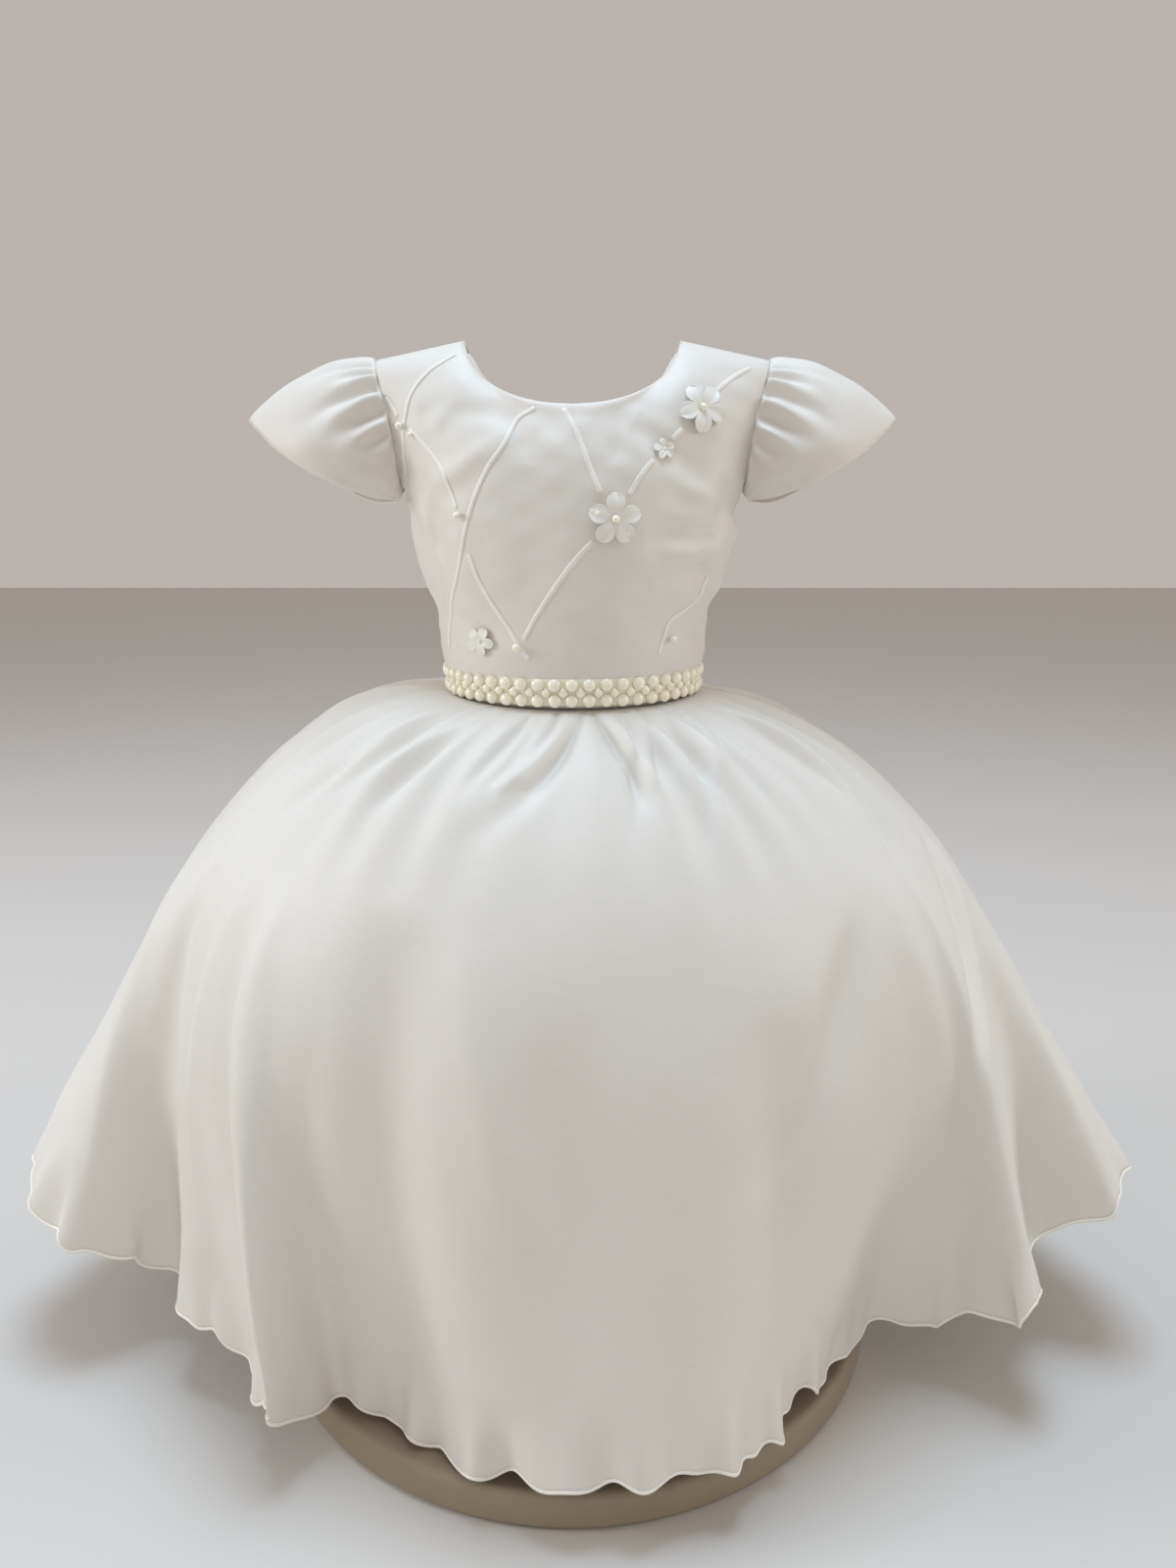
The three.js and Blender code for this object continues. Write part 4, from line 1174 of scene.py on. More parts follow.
@dataclass
class Bodice:
    """The bodice: a front and two back panels, with their creases."""

    armhole_steps: int = 6
    shoulder_steps: int = 3
    neck_steps: int = 6
    refine: int = 8
    back_neck_share: float = 0.9
    # Rows of the grid, and how far it is evened out
    chest_rows: int = 46
    upper_rows: int = 48
    rim_rows: int = 10
    ease_rows: float = 7.0
    ease_passes: int = 60
    soft_passes: int = 160
    crease_foot: float = 456 * MM
    crease_rise: float = 12 * MM
    edge_roll: float = 0.3 * MM
    edge_follow: float = 0.2
    top_follow: float = 0.3
    # Level rings by height, half width, front and back, in millimetres
    rings: tuple[tuple[float, float, float, float], ...] = (
        (434.3, 71.5, 73, 61), (446, 72.5, 74, 62), (450.5, 78.5, 77.5, 65), (463, 81.5, 79, 66.5),
        (481, 82.5, 79.5, 67.5), (491, 86, 80, 68.5), (509, 93.5, 80, 70), (535, 99, 79, 71.5),
    )
    # The front's armhole and neck by across, depth and height, in millimetres
    armhole: tuple[tuple[float, float, float], ...] = (
        (103, 0, 552), (102.5, -15, 560), (103.5, -23, 578), (107, -22, 600), (112.5, -13, 618),
        (116, 0, 628),
    )
    neck: tuple[tuple[float, float, float], ...] = (
        (63, 0, 639), (58, -18, 627), (50, -34, 615.5), (36, -50, 606), (18, -58, 600.5),
        (0, -60, 599),
    )
    # Creases by across, height, across, height, half width, depth and bow, in millimetres
    front_creases: tuple[tuple[float, ...], ...] = (
        (-76, 556, -77, 488, 6, -3.4, 2), (-98, 558, -80, 516, 6, -2.8, 3), (-90, 552, -68, 496, 4, 1.8, 2),
        (-86, 596, -28, 590, 7, -2.0, -3), (-80, 556, -34, 586, 7, 2.0, 2), (-62, 552, -58, 486, 8, 1.4, 0),
        (-76, 488, -40, 476, 4, -1.6, 2), (-86, 502, -62, 468, 5, -2.2, 2),
        (-100, 580, -84, 552, 5, -2.2, 2),
        (34, 590, 80, 562, 7, -3.0, 3), (40, 527, 92, 531, 4, -3.4, -3), (48, 518, 94, 518, 4, 2.2, -2),
        (46, 503, 86, 509, 4, -3.0, -3), (58, 492, 90, 497, 3.5, 1.9, -1), (74, 522, 84, 482, 5, -3.1, 3),
        (92, 562, 78, 528, 6, -3.3, -3), (64, 482, 84, 465, 4, -2.3, 1), (84, 546, 58, 556, 5, 1.5, 2),
        (-20, 572, -24, 480, 16, -1.6, 3), (22, 502, 30, 460, 9, 1.2, 1), (96, 550, 99, 533, 4, -3.2, 0),
        (100, 536, 94, 522, 4, 2.0, 0), (-82, 471, -62, 462, 3, -1.2, 0), (2, 474, 40, 467, 4, -0.9, 1),
        (-30, 600, -22, 566, 5, -1.2, 2), (26, 600, 22, 566, 5, -1.0, -2), (-60, 606, -78, 584, 5, 1.3, 2),
    )
    back_creases: tuple[tuple[float, ...], ...] = (
        (-86, 550, -58, 512, 6, -2.8, 3), (-82, 520, -38, 508, 4.5, -2.2, 2),
        (-80, 502, -46, 486, 4, 1.6, 1),
        (-70, 598, -26, 584, 7, -1.8, 2), (-62, 482, -28, 472, 4, -1.8, 2), (-72, 536, -46, 558, 6, 1.6, 1),
        (88, 554, 62, 520, 6, -2.6, -3), (84, 514, 44, 502, 4.5, -2.3, -2), (80, 494, 50, 478, 4, -1.8, -1),
        (72, 592, 30, 578, 7, -1.8, -2), (66, 540, 40, 560, 6, 1.5, -1), (24, 560, 18, 514, 5, -1.4, 1),
        (-18, 542, -14, 498, 5, -1.3, 1), (40, 475, 68, 466, 3.5, -1.4, 0), (-40, 528, -22, 518, 4, 1.2, 0),
        (96, 548, 97, 520, 5, -2.6, 0), (-96, 546, -96, 516, 5, -2.4, 0),
    )

    def __post_init__(self) -> None:
        """Makes the edges' splines."""
        self.armhole_line = Spline(np.array(self.armhole) * MM)
        self.neck_line = Spline(np.array(self.neck) * MM)

    @property
    def quarter(self) -> int:
        """Returns the steps of a quarter, from the side seam to the centre line."""
        return self.armhole_steps + self.shoulder_steps + self.neck_steps

    def top_edge(self, step: Array, back: Array) -> Array:
        """Returns points of the top edge: armhole, shoulder seam, then neck.

        Args:
            step: steps from the side seam.
            back: whether each is on the back.

        Returns:
            Points, on the side of +X.
        """
        shoulder = self.armhole_steps + self.shoulder_steps
        along = np.clip((step - self.armhole_steps) / self.shoulder_steps, 0.0, 1.0)[..., None]
        tip, root = self.armhole_line.at(np.array(1.0)), self.neck_line.at(np.array(0.0))
        point = blend(tip, root, along)
        arm = self.armhole_line.at(np.clip(step / self.armhole_steps, 0.0, 1.0))
        neck = self.neck_line.at(np.clip((step - shoulder) / self.neck_steps, 0.0, 1.0))
        point = np.where((step <= self.armhole_steps)[..., None], arm, point)
        point = np.where((step > shoulder)[..., None], neck, point)
        top = root[2]
        lifted = top - (top - point[..., 2]) * self.back_neck_share
        point[..., 2] = np.where(back & (step > shoulder), lifted, point[..., 2])
        point[..., 1] = np.where(back, -point[..., 1], point[..., 1])
        return point

    def columns(self) -> tuple[Array, Array, Array]:
        """Sorts the columns round the body.

        Returns:
            Each column's side, whether it is on the back, and its step.
        """
        count = 4 * self.quarter * self.refine
        column = np.arange(count) / self.refine
        part = np.floor(column / self.quarter).astype(int) % 4
        along = column % self.quarter
        side = np.where(part < 2, -1.0, 1.0)
        back = (part == 0) | (part == 3)
        step = np.where((part == 0) | (part == 2), self.quarter - along, along)
        return side, back, step

    def surface(self) -> Array:
        """Makes the bodice's outer surface.

        Returns:
            Points, by row and column.
        """
        side, back, step = self.columns()
        angle = np.pi / 2 * (1.0 - step / self.quarter)
        rows = Spline(np.array(self.rings) * MM).at(np.linspace(0.0, 1.0, self.chest_rows))

        def ring(row: Array) -> Array:
            """Finds a level ring's points.

            Args:
                row: its height, half width, front and back.

            Returns:
                The points.
            """
            depth = np.where(back, row[3], -row[2])
            return np.stack([np.sin(angle) * row[1], np.cos(angle) * depth,
                             np.full_like(angle, row[0])], axis=-1)

        lower = np.stack([ring(row) for row in rows])
        share = np.linspace(0.0, 1.0, self.upper_rows + 1)[1:, None]
        chest, edge = lower[-1], self.top_edge(step, back)
        shoulder = self.armhole_steps + self.shoulder_steps
        rounded = np.where(step < self.armhole_steps, smooth((step - 2) / (self.armhole_steps - 2)),
                           1.0 - smooth((step - shoulder) / 3))
        bend = blend(share ** 2.2, 1.0 - np.sqrt(1.0 - share ** 2), rounded[None])
        upper = np.stack([blend(chest[None, :, 0], edge[None, :, 0], share ** 2),
                          blend(chest[None, :, 1], edge[None, :, 1], bend),
                          blend(chest[None, :, 2], edge[None, :, 2], share)], axis=-1)
        grid = np.concatenate([lower, upper])
        grid[..., 0] *= side[None, :]
        return self._softened(self._eased(grid, len(lower) - 1))

    def _softened(self, grid: Array) -> Array:
        """Evens out the upper part round the body.

        Args:
            grid: the bodice's points.

        Returns:
            The softened grid.
        """
        row = np.arange(len(grid))
        below = smooth((row - self.chest_rows) / 10.0)
        weight = (below * smooth((len(grid) - 1 - row) / 8.0))[:, None, None]
        for _ in range(self.soft_passes):
            middle = (np.roll(grid, 1, axis=1) + 2.0 * grid + np.roll(grid, -1, axis=1)) / 4.0
            grid = blend(grid, middle, weight)
        return grid

    def _eased(self, grid: Array, chest: int) -> Array:
        """Eases out the change of slope at the chest.

        Args:
            grid: the bodice's points.
            chest: the row at the chest.

        Returns:
            The eased grid.
        """
        row = np.arange(len(grid))
        weight = np.exp(-((row - chest) / self.ease_rows) ** 2)[:, None, None]
        for _ in range(self.ease_passes):
            middle = grid.copy()
            middle[1:-1] = (grid[:-2] + 2.0 * grid[1:-1] + grid[2:]) / 4.0
            grid = blend(grid, middle, weight)
        return grid

    def build(self) -> bpy.types.Object:
        """Makes the panels.

        Returns:
            The front panel, which carries the applied pieces.
        """
        grid = self.surface()
        outward = grid_normals(grid, True)
        _, back, step = self.columns()
        rise = np.zeros(grid.shape[:2])
        across, up = grid[..., 0], grid[..., 2]
        for creases, where in ((self.front_creases, ~back), (self.back_creases, back)):
            for crease in in_millimetres(creases):
                rise += crease.rise(across, up) * where[None, :]
        around = np.arctan2(grid[..., 0], -grid[..., 1]) * 0.08
        rise += 0.3 * MM * unevenness(around, up, 5, 0.014, 0.05)
        free = smooth((up - self.crease_foot) / self.crease_rise) * self._rim(len(grid))
        grid = grid + outward * (rise * free)[..., None]
        grid = self._turned_edges(grid, outward)
        quarter = self.quarter * self.refine
        panels = (("bodice_front", quarter, 3 * quarter, (0.31, 0.215), 0.050),
                  ("bodice_back_left", 0, quarter, (0.155, 0.215), 0.025),
                  ("bodice_back_right", 3 * quarter, 4 * quarter, (0.155, 0.215), 0.025))
        made = {}
        for name, first, last, flat, area in panels:
            run = [column % grid.shape[1] for column in range(first, last + 1)]
            panel = seamed(grid[:, run].copy(), outward[:, run], self.edge_roll, self.edge_follow)
            made[name] = grid_piece(f"{name}_cloth", panel, flat[0], flat[1], Finish.SATIN,
                                    "satin", [name])
        return made["bodice_front"]

    def _rim(self, rows: int) -> Array:
        """Returns a weight that holds the last rows below the top edge still."""
        past = np.arange(rows) - (rows - self.rim_rows)
        return (1.0 - smooth(past / (self.rim_rows - 1)))[:, None]

    def _turned_edges(self, grid: Array, outward: Array) -> Array:
        """Turns in the top edge, as a faced edge is.

        Args:
            grid: the bodice's points.
            outward: their normals.

        Returns:
            The grid.
        """
        grid[-1] -= outward[-1] * self.edge_roll
        grid[-2] -= outward[-2] * self.edge_roll * self.top_follow
        return grid


@dataclass
class Sleeves:
    """The two gathered cap sleeves."""

    bodice: Bodice
    columns: int = 288
    rows: int = 46
    root_gap: float = -0.6 * MM
    right_shift: float = 0.012
    weave: tuple[float, float] = (0.24, 0.085)
    gathers: int = 12
    gather_depth: float = 2.2 * MM
    puff: float = 10 * MM
    back_drop: float = 4 * MM
    heart: tuple[float, float, float] = (105 * MM, 0.0, 588 * MM)
    mouth: tuple[float, float, float] = (150 * MM, 0.0, 568 * MM)
    # The front half of the lower edge, in millimetres
    hem: tuple[tuple[float, float, float], ...] = (
        (107, 0, 548), (122, -19, 551), (148, -27, 562), (173, -17, 577), (192, 0, 594),
    )
    # Gathers by turn round the armhole, share of the length, half width in turns and depth in mm
    long_gathers: tuple[tuple[float, ...], ...] = (
        (0.412, 0.46, 0.013, -3.0), (0.358, 0.86, 0.015, -4.4), (0.292, 0.68, 0.015, -4.0),
        (0.238, 0.58, 0.014, -3.6), (0.178, 0.50, 0.014, -3.0), (0.458, 0.66, 0.013, -2.6),
        (0.386, 0.60, 0.012, 2.4), (0.325, 0.66, 0.014, 3.0), (0.265, 0.50, 0.012, 2.4),
        (0.208, 0.44, 0.012, 2.0), (0.542, 0.60, 0.013, -3.0), (0.598, 0.78, 0.015, -4.0),
        (0.655, 0.58, 0.013, -3.2), (0.712, 0.64, 0.015, -3.4), (0.775, 0.46, 0.013, -2.8),
        (0.570, 0.60, 0.012, 2.2), (0.628, 0.55, 0.013, 2.6), (0.684, 0.50, 0.012, 2.4),
    )

    def _hem_line(self) -> Spline:
        """Returns the closed lower edge."""
        rear = [(x, -y, z - self.back_drop / MM) for x, y, z in self.hem[-2:0:-1]]
        return Spline(np.array([*self.hem, *rear]) * MM, closed=True)

    def _armhole(self, turn: Array) -> Array:
        """Finds points of the armhole.

        Args:
            turn: their turns round its edge.

        Returns:
            The points.
        """
        place = turn * 2 * self.bodice.armhole_steps
        back = place > self.bodice.armhole_steps
        step = np.where(back, 2 * self.bodice.armhole_steps - place, place)
        return self.bodice.top_edge(step, back)

    def surface(self, side: float) -> Array:
        """Makes a sleeve's outer surface, from the armhole to its lower edge.

        Args:
            side: -1 for the sleeve at -X, 1 for the one at +X.

        Returns:
            Points, by row and column.
        """
        turn = np.arange(self.columns) / self.columns
        share = np.linspace(0.0, 1.0, self.rows) ** 1.15
        share, column = share[:, None, None], turn[None, :, None]
        root = self._armhole(turn)
        root[:, 0] += self.root_gap
        end = self._hem_line().even(turn)
        longest = abs(self.bodice.armhole[-1][0] - self.hem[-1][0]) * MM
        reach = (np.linalg.norm(root - end, axis=1) / longest)[None, :, None]
        point = blend(root[None], end[None], share)
        away = point - blend(np.array(self.heart), np.array(self.mouth), share)
        away[..., 0] = 0.0
        away = unit(away)
        rise = self.puff * reach * np.sin(np.pi * share) ** 0.7
        fold = np.cos(2 * np.pi * self.gathers * column + 0.7 * np.sin(4 * np.pi * column))
        depth = self.gather_depth * np.minimum(1.0, reach * 1.6)
        fade = np.minimum(1.0, 0.3 + 4.0 * share) * (1.0 - smooth((share - 0.1) / 0.7))
        rise = rise + depth * fade * fold * 0.35
        for middle, length, half, height in self.long_gathers:
            window = smooth(share / 0.06) * (1.0 - smooth((share - length * 0.25) / (length * 0.75)))
            aside = (column - middle + (self.right_shift if side > 0 else 0.0) + 0.5) % 1.0 - 0.5
            spread = half * (1.0 + 0.8 * share)
            rise = rise + height * MM * window * reach ** 0.5 * np.exp(-(aside / spread) ** 2)
        uneven = unevenness(column * 0.25, share * 0.08, 21, 0.02, 0.06)
        rise = rise + 0.35 * MM * uneven * smooth(share / 0.2)
        point = point + away * rise
        point[..., 0] *= side
        return point

    def build(self) -> None:
        """Makes both sleeves."""
        for name, side in (("sleeve_left", -1.0), ("sleeve_right", 1.0)):
            grid = self.surface(side)
            if side > 0:
                grid = grid[:, ::-1]
            piece = grid_piece(f"{name}_cloth", grid, *self.weave, Finish.SATIN, "satin", [name], True)


class Surface:
    """The bodice's front, on which the applied pieces lie."""

    def __init__(self, panel: bpy.types.Object) -> None:
        """Readies the panel for finding places on it."""
        bpy.context.view_layer.update()
        self.panel = panel

    def at(self, across: float, up: float) -> tuple[Array, Array]:
        """Finds the cloth that is seen from the front at a place.

        Args:
            across: the place across, in metres.
            up: its height.

        Returns:
            The point on the cloth and the way out of it.
        """
        hit, place, normal, _ = self.panel.ray_cast(Vector((across, -1.0, up)), Vector((0.0, 1.0, 0.0)))
        if not hit:
            raise ValueError(f"no cloth at {across:.4f}, {up:.4f}")
        normal = np.array(normal)
        return np.array(place), normal if normal[1] < 0 else -normal


@dataclass
class Applique:
    """The cords of the loose lattice, the flowers and the small pearls on the front."""

    surface: Surface
    cord_radii: tuple[float, float] = (1.4 * MM, 0.55 * MM)
    lift: float = 0.12 * MM
    step: float = 1.2 * MM
    cord_sides: int = 12
    petals: int = 5
    petal_rows: int = 13
    petal_columns: int = 11
    petal_lift: float = 0.4 * MM
    petal_shell: float = 0.5 * MM
    # Routes by across and height in millimetres
    routes: tuple[tuple[tuple[float, float], ...], ...] = (
        ((-66, 628), (-81, 618), (-90, 607), (-94, 594), (-96.5, 580), (-97.5, 563)),
        ((-106, 605), (-99, 594.5)),
        ((-91.5, 586.5), (-84, 580), (-73, 567), (-68, 556), (-63.5, 544)),
        ((-20, 596.5), (-29, 591), (-36, 578), (-46, 564), (-54, 547), (-59, 531), (-64, 509),
         (-69, 493), (-72, 477), (-73, 464)),
        ((-57, 519), (-52, 506), (-44, 492), (-35, 479), (-29, 469), (-24, 463)),
        ((-26.5, 473.5), (-19, 487), (-4, 509), (5, 520), (11.5, 526.5)),
        ((-4, 596), (3, 583), (10, 565), (15.5, 552.5)),
        ((31, 551), (38, 562), (44, 569)),
        ((55, 580.5), (60.5, 586)),
        ((80, 607), (90, 615), (101, 621.5)),
        ((78, 505), (73, 495), (65, 488), (55, 481.5), (52, 473), (49, 464)),
    )
    # Flowers by across, height and radius in millimetres, and by turn
    flowers: tuple[tuple[str, float, float, float, float], ...] = (
        ("flower_chest", 23, 538, 14, 0.3), ("flower_neck", 71, 597, 13, 0.9),
        ("flower_small", 50, 575, 6, 0.5), ("flower_low", -51, 471, 8, 1.1),
    )
    # Small pearls by across, height and radius in millimetres
    pearls: tuple[tuple[float, float, float], ...] = (
        (-96, 589, 2.1), (-90, 584, 1.3), (-62, 540, 2.0), (-30, 469, 2.2), (56, 472, 2.0),
        (14, 541, 1.8), (30, 531, 1.6), (80, 590, 1.6),
    )

    def _cords(self) -> None:
        """Makes the cords."""
        for number, route in enumerate(self.routes, start=1):
            line = Spline([(x * MM, 0.0, z * MM) for x, z in route])
            count = max(4, round(line.length() / self.step))
            points = line.even(np.linspace(0.0, 1.0, count + 1))
            places = [self.surface.at(x, z) for x, _, z in points]
            up = unit(np.array([normal for _, normal in places]))
            path = np.array([place for place, _ in places]) + up * self.lift
            mesh = tube_mesh(f"cord_{number}", path, up, self.cord_radii, self.cord_sides, False)
            settle(f"cord_{number}_satin", mesh, Finish.CORD, [f"cord_{number}"])

    def _petal_width(self, along: float) -> float:
        """Finds a petal's half width: a narrow foot and a round end.

        Args:
            along: the share of the petal's length.

        Returns:
            The share of its length that it is wide.
        """
        if along < 0.62:
            return 0.10 + 0.27 * float(smooth(np.array(along / 0.62)))
        return 0.37 * math.sqrt(1.0 - ((along - 0.62) / 0.40) ** 2)

    def _petal(self, centre: tuple[float, float], radius: float, angle: float,
               phase: float) -> bpy.types.Mesh:
        """Makes one cupped petal that lies on the cloth.

        Args:
            centre: the flower's middle, across and up.
            radius: the petal's length.
            angle: the way it points.
            phase: where the wave across it starts.

        Returns:
            Its mesh.
        """
        rows, columns = self.petal_rows, self.petal_columns
        reach = np.linspace(0.06, 1.0, rows) ** 0.9
        beside = np.linspace(-1.0, 1.0, columns)
        grid = np.empty((rows, columns, 3))
        for row, along in enumerate(reach):
            width = self._petal_width(along)
            for column, aside in enumerate(beside):
                out = radius * along
                side = radius * width * aside
                x = centre[0] + out * math.cos(angle) - side * math.sin(angle)
                z = centre[1] + out * math.sin(angle) + side * math.cos(angle)
                place, normal = self.surface.at(x, z)
                cup = 0.10 + 0.16 * math.sin(math.pi * along) + 0.10 * aside ** 2 * along
                wave = 0.03 * math.sin(5.0 * aside + phase) * along
                grid[row, column] = place + normal * (self.petal_lift + radius * (cup + wave) * 0.8)
        flat = flat_corners(beside * radius * 0.5, reach * radius)
        faces = quads(rows, columns, False)[:, ::-1].tolist()
        return mesh_of("petal", grid, faces, flat[:, :, ::-1])

    def _flowers(self) -> None:
        """Makes the flowers."""
        for name, x, z, radius, turn in self.flowers:
            angles = [turn + 2 * math.pi * number / self.petals for number in range(self.petals)]
            petals = [self._petal((x * MM, z * MM), radius * MM, angle, number)
                      for number, angle in enumerate(angles)]
            solid = [name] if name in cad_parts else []
            mesh = joined(f"{name}_satin", petals)
            piece = settle(f"{name}_satin", mesh, Finish.TRIM, solid)
            wall = piece.modifiers.new("wall", "SOLIDIFY")
            wall.thickness = self.petal_shell
            wall.offset = 1.0
            round_off = piece.modifiers.new("round", "SUBSURF")
            round_off.levels = 1
            round_off.render_levels = 1

    def _pearls(self) -> None:
        """Makes the small sewn pearls, one at each flower's middle too."""
        spots = [(x, z, radius, 0.8) for x, z, radius in self.pearls]
        spots += [(x, z, size * 0.16, size * 0.2) for _, x, z, size, _ in self.flowers]
        centres, outward, radii = [], [], []
        for x, z, radius, lift in spots:
            place, normal = self.surface.at(x * MM, z * MM)
            centres.append(place + normal * (radius + lift * 0.6) * MM)
            outward.append(normal)
            radii.append(radius * MM)
        mesh = beads_mesh("small_pearls", np.array(centres), np.array(outward), np.array(radii),
                          1.0)
        settle("small_pearls", mesh, Finish.PEARL, [])

    def build(self) -> None:
        """Makes all that is applied to the front."""
        self._cords()
        self._flowers()
        self._pearls()


@dataclass
class Belt:
    """The woven belt: two rows of pearls, smaller ones between them, on a ribbon."""

    pearls: int = 50
    # Heights of the lower, middle and upper row
    row_heights: tuple[float, float, float] = (439.3 * MM, 443.8 * MM, 448.3 * MM)
    large: float = 3.75 * MM
    small: float = 2.8 * MM
    flatness: float = 0.74
    ribbon_low: float = 436.2 * MM
    ribbon_high: float = 451.6 * MM
    ribbon_out: float = 1.6 * MM
    ribbon_shell: float = 0.5 * MM
    ribbon_columns: int = 200
    ribbon_rows: int = 8
    pearl_out: float = 0.5 * MM
    jitter: float = 0.12 * MM
    seed: int = 3
    # Half width, front and back of the belt's surface at its two ring heights
    low_ring: tuple[float, float, float] = (73.5 * MM, 75 * MM, 63 * MM)
    high_ring: tuple[float, float, float] = (75.5 * MM, 76.5 * MM, 64 * MM)
    ring_heights: tuple[float, float] = (434.3 * MM, 453.5 * MM)

    def _ring(self, turn: Array, height: float, out: float) -> tuple[Array, Array]:
        """Finds points round the waist.

        Args:
            turn: their turns.
            height: their height.
            out: how far they stand out of the bodice.

        Returns:
            The points and the ways out.
        """
        share = (height - self.ring_heights[0]) / (self.ring_heights[1] - self.ring_heights[0])
        half, front, back = (blend(a, b, share) for a, b in zip(self.low_ring, self.high_ring))
        angle = 2.0 * np.pi * turn
        depth = np.where(np.cos(angle) > 0.0, back, front)
        point = np.stack([-np.sin(angle) * half, np.cos(angle) * depth,
                          np.full_like(turn, height)], axis=-1)
        away = unit(np.stack([point[:, 0] / half ** 2, point[:, 1] / depth ** 2,
                              np.zeros_like(turn)], axis=-1))
        return point + away * out, away

    def build(self) -> None:
        """Makes the ribbon and the pearls."""
        turn = np.arange(self.pearls) / self.pearls
        random = np.random.default_rng(self.seed)
        centres, outward, radii = [], [], []
        low, middle, high = self.row_heights
        rows = ((low, 0.0, self.large), (middle, 0.5, self.small), (high, 0.0, self.large))
        for height, shift, radius in rows:
            out = self.pearl_out + radius * self.flatness
            ring, away = self._ring(turn + shift / self.pearls, height, out)
            centres.append(ring + random.normal(0.0, self.jitter, ring.shape))
            outward.append(away)
            radii.append(np.full(self.pearls, radius) * random.uniform(0.96, 1.03, self.pearls))
        mesh = beads_mesh("belt_pearls", np.concatenate(centres), np.concatenate(outward),
                          np.concatenate(radii), self.flatness)
        settle("belt_pearls", mesh, Finish.PEARL, ["belt"])
        around = np.arange(self.ribbon_columns) / self.ribbon_columns
        heights = np.linspace(self.ribbon_low, self.ribbon_high, self.ribbon_rows)
        grid = np.stack([self._ring(around, height, self.ribbon_out)[0] for height in heights])
        length = 0.445
        ribbon = grid_piece("belt_ribbon", grid[::-1], length, 15.4 * MM, Finish.RIBBON, "pearl", [],
                            True, self.ribbon_shell)


@dataclass
class Buttons:
    """The covered buttons at the centre back."""

    radius: float = 5 * MM
    count: int = 4
    sides: int = 40
    # Radius and height over the button's own radius
    profile: tuple[tuple[float, float], ...] = (
        (0.0, -0.42), (0.62, -0.42), (0.86, -0.34), (0.98, -0.12), (0.99, 0.02), (0.90, 0.2),
        (0.72, 0.33), (0.46, 0.41), (0.2, 0.44), (0.0, 0.445),
    )

    def build(self) -> None:
        """Makes each button where its solid is."""
        outline = [(r * self.radius, h * self.radius) for r, h in self.profile]
        for number in range(1, self.count + 1):
            name = f"button_{number}"
            low, high = (np.array(corner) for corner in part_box(name))
            middle = (low + high) / 2
            mesh = lathe_mesh(name, outline, self.sides)
            out = Vector((0.0, 1.0, 0.0))
            turn = Vector((0.0, 0.0, 1.0)).rotation_difference(out).to_matrix().to_4x4()
            turn.translation = Vector(middle)
            mesh.transform(turn)
            settle(f"{name}_covered", mesh, Finish.TRIM, [name])


@dataclass
class DressForm:
    """The limbless form: its torso, pole and base."""

    base_radius: float = 200 * MM
    base_thickness: float = 24 * MM
    base_edge: float = 5 * MM
    base_sides: int = 160
    bend_points: int = 7
    pole_radius: float = 14 * MM
    flange_radius: float = 42 * MM
    head_radius: float = 29.4 * MM
    pole_sides: int = 64
    torso_foot: float = 336 * MM
    cover_inset: float = 3.6 * MM
    inset_foot: float = 452 * MM
    inset_rise: float = 30 * MM

    def _torso(self) -> None:
        """Makes the torso as a finer copy of its solid, set in under the bodice's creases."""
        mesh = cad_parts["form_torso"].data.copy()
        mesh.name = "torso"
        points = np.empty(3 * len(mesh.vertices))
        mesh.vertices.foreach_get("co", points)
        points = points.reshape(-1, 3)
        inset = self.cover_inset * smooth((points[:, 2] - self.inset_foot) / self.inset_rise)
        level = np.linalg.norm(points[:, :2], axis=1)
        points[:, :2] *= (1.0 - inset / np.maximum(level, self.cover_inset))[:, None]
        mesh.vertices.foreach_set("co", points.ravel())
        piece = settle("torso_cover", mesh, Finish.JERSEY, ["form_torso"])
        weld = piece.modifiers.new("weld", "WELD")
        weld.merge_threshold = 0.01 * MM
        finer = piece.modifiers.new("finer", "SUBSURF")
        finer.levels = 2
        finer.render_levels = 2

    def _base(self) -> None:
        """Makes the round base with a softly rounded edge."""
        r, t, e = self.base_radius, self.base_thickness, self.base_edge
        bend = np.linspace(0.0, np.pi / 2, self.bend_points)
        low = [(r - e + e * math.sin(a), e - e * math.cos(a)) for a in bend]
        high = [(r - e + e * math.cos(a), t - e + e * math.sin(a)) for a in bend]
        rings = [(share * (r - e), 0.0) for share in (0.35, 0.7)]
        top = [(share * (r - e), t) for share in (0.9, 0.6, 0.3)]
        profile = [(0.0, 0.0), *rings, *low, *high, *top, (0.0, t)]
        mesh = lathe_mesh("base", profile, self.base_sides)
        settle("base_board", mesh, Finish.BOARD, ["form_base"])

    def _pole(self) -> None:
        """Makes the pole with its foot and head."""
        foot = self.base_thickness + SEAM_GAP
        head = self.torso_foot - SEAM_GAP
        r, f, h = self.pole_radius, self.flange_radius, self.head_radius
        profile = [(0.0, foot), (f - MM, foot), (f, foot + MM), (f, foot + 4 * MM),
                   (f - MM, foot + 5 * MM), (r + 8 * MM, foot + 7 * MM),
                   (r + 3 * MM, foot + 10 * MM), (r, foot + 16 * MM),
                   (r, head - 12 * MM), (r + 4 * MM, head - 8 * MM), (h - MM, head - 5 * MM),
                   (h, head - 4 * MM), (h, head - MM), (h - MM, head), (0.0, head)]
        mesh = lathe_mesh("pole", profile, self.pole_sides)
        settle("pole_tube", mesh, Finish.STEEL, ["form_pole"])

    def build(self) -> None:
        """Makes the form's three pieces."""
        self._torso()
        self._base()
        self._pole()


# The studio

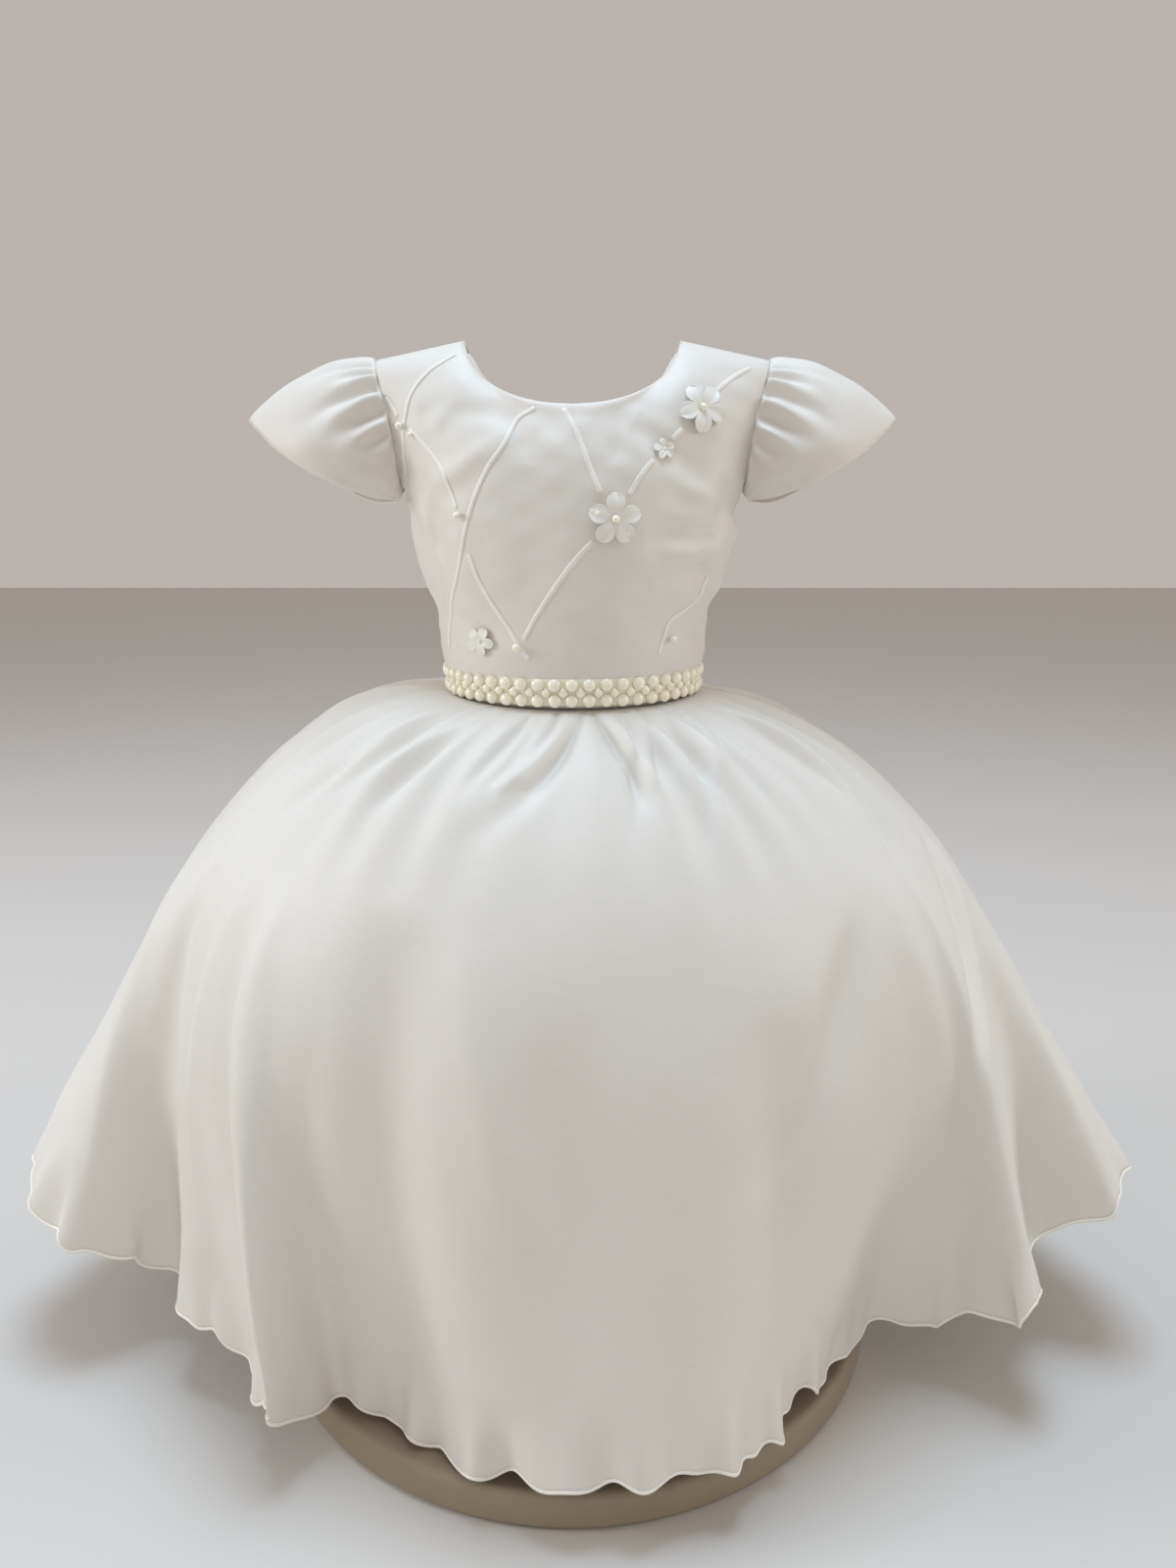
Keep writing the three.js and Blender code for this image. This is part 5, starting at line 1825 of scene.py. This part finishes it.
@dataclass
class Studio:
    """The camera at the photograph's view, soft light and a plain pale floor."""

    eye: tuple[float, float, float] = (9 * MM, -699.8 * MM, 546 * MM)
    pitch: float = math.radians(13.93)
    lens: float = 25.875
    clip_start: float = 0.02
    floor_size: float = 14.0
    floor_height: float = -0.0002
    aim: tuple[float, float, float] = (0.0, 0.0, 0.3)
    ambient: tuple[float, float, float] = (1.0, 0.915, 0.865)
    ambient_strength: float = 0.49
    # Lights by name, place, size, power and colour
    lights: tuple[tuple[str, tuple[float, float, float], float, float, tuple[float, float, float]], ...] = (
        ("overhead", (0.0, -0.05, 2.4), 0.9, 29.0, (0.63, 0.81, 1.0)),
        ("left_window", (-2.3, -0.25, 1.1), 0.9, 21.0, (0.96, 0.97, 1.0)),
        ("right_fill", (2.4, -0.2, 1.0), 1.1, 12.0, (1.0, 0.97, 0.94)),
        ("front_fill", (0.0, -2.4, 0.1), 1.0, 6.0, (1.0, 0.95, 0.90)),
    )

    def camera(self) -> None:
        """Makes the camera."""
        data = bpy.data.cameras.new("camera")
        data.lens = self.lens
        data.clip_start = self.clip_start
        camera = bpy.data.objects.new("camera", data)
        camera.location = self.eye
        camera.rotation_euler = (math.pi / 2 - self.pitch, 0.0, 0.0)
        bpy.context.scene.collection.objects.link(camera)
        bpy.context.scene.camera = camera

    def floor(self) -> None:
        """Makes the floor."""
        half = self.floor_size / 2
        corners = np.array([(-half, -half, 0.0), (half, -half, 0.0), (half, half, 0.0),
                            (-half, half, 0.0)])
        mesh = mesh_of("floor", corners, [[0, 1, 2, 3]])
        mesh.materials.append(Finish.FLOOR.material())
        floor = bpy.data.objects.new("floor", mesh)
        floor.location = (0.0, 0.0, self.floor_height)
        bpy.context.scene.collection.objects.link(floor)

    def light(self) -> None:
        """Makes the soft lights and the pale surroundings."""
        for name, place, size, power, colour in self.lights:
            data = bpy.data.lights.new(name, "AREA")
            data.shape = "DISK"
            data.size = size
            data.energy = power
            data.color = colour
            lamp = bpy.data.objects.new(name, data)
            lamp.location = place
            way = Vector(self.aim) - Vector(place)
            lamp.rotation_euler = way.to_track_quat("-Z", "Y").to_euler()
            bpy.context.scene.collection.objects.link(lamp)
        world = bpy.data.worlds.new("surroundings")
        world.use_nodes = True
        background = world.node_tree.nodes["Background"]
        background.inputs["Color"].default_value = (*self.ambient, 1.0)
        background.inputs["Strength"].default_value = self.ambient_strength
        bpy.context.scene.world = world
        bpy.context.scene.view_settings.view_transform = "Standard"

    def build(self) -> None:
        """Makes the camera, floor and lights."""
        self.camera()
        self.floor()
        self.light()


def report(name: str, build: Callable[[], Any]) -> Any:
    """Builds one sub-assembly and logs it.

    Args:
        name: its name in the log.
        build: what builds it.

    Returns:
        What it made.
    """
    made = build()
    log.info("built %s", name)
    return made


def main() -> None:
    """Builds the studio, the form and the dress."""
    logging.basicConfig(level=logging.INFO, format="%(name)s: %(message)s")
    report("studio", Studio().build)
    report("dress form", DressForm().build)
    report("skirt", Skirt().build)
    bodice = Bodice()
    front = report("bodice", bodice.build)
    report("sleeves", Sleeves(bodice).build)
    report("belt", Belt().build)
    report("applied cords and flowers", Applique(Surface(front)).build)
    report("buttons", Buttons().build)
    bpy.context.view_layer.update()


if __name__ == "__main__":
    main()
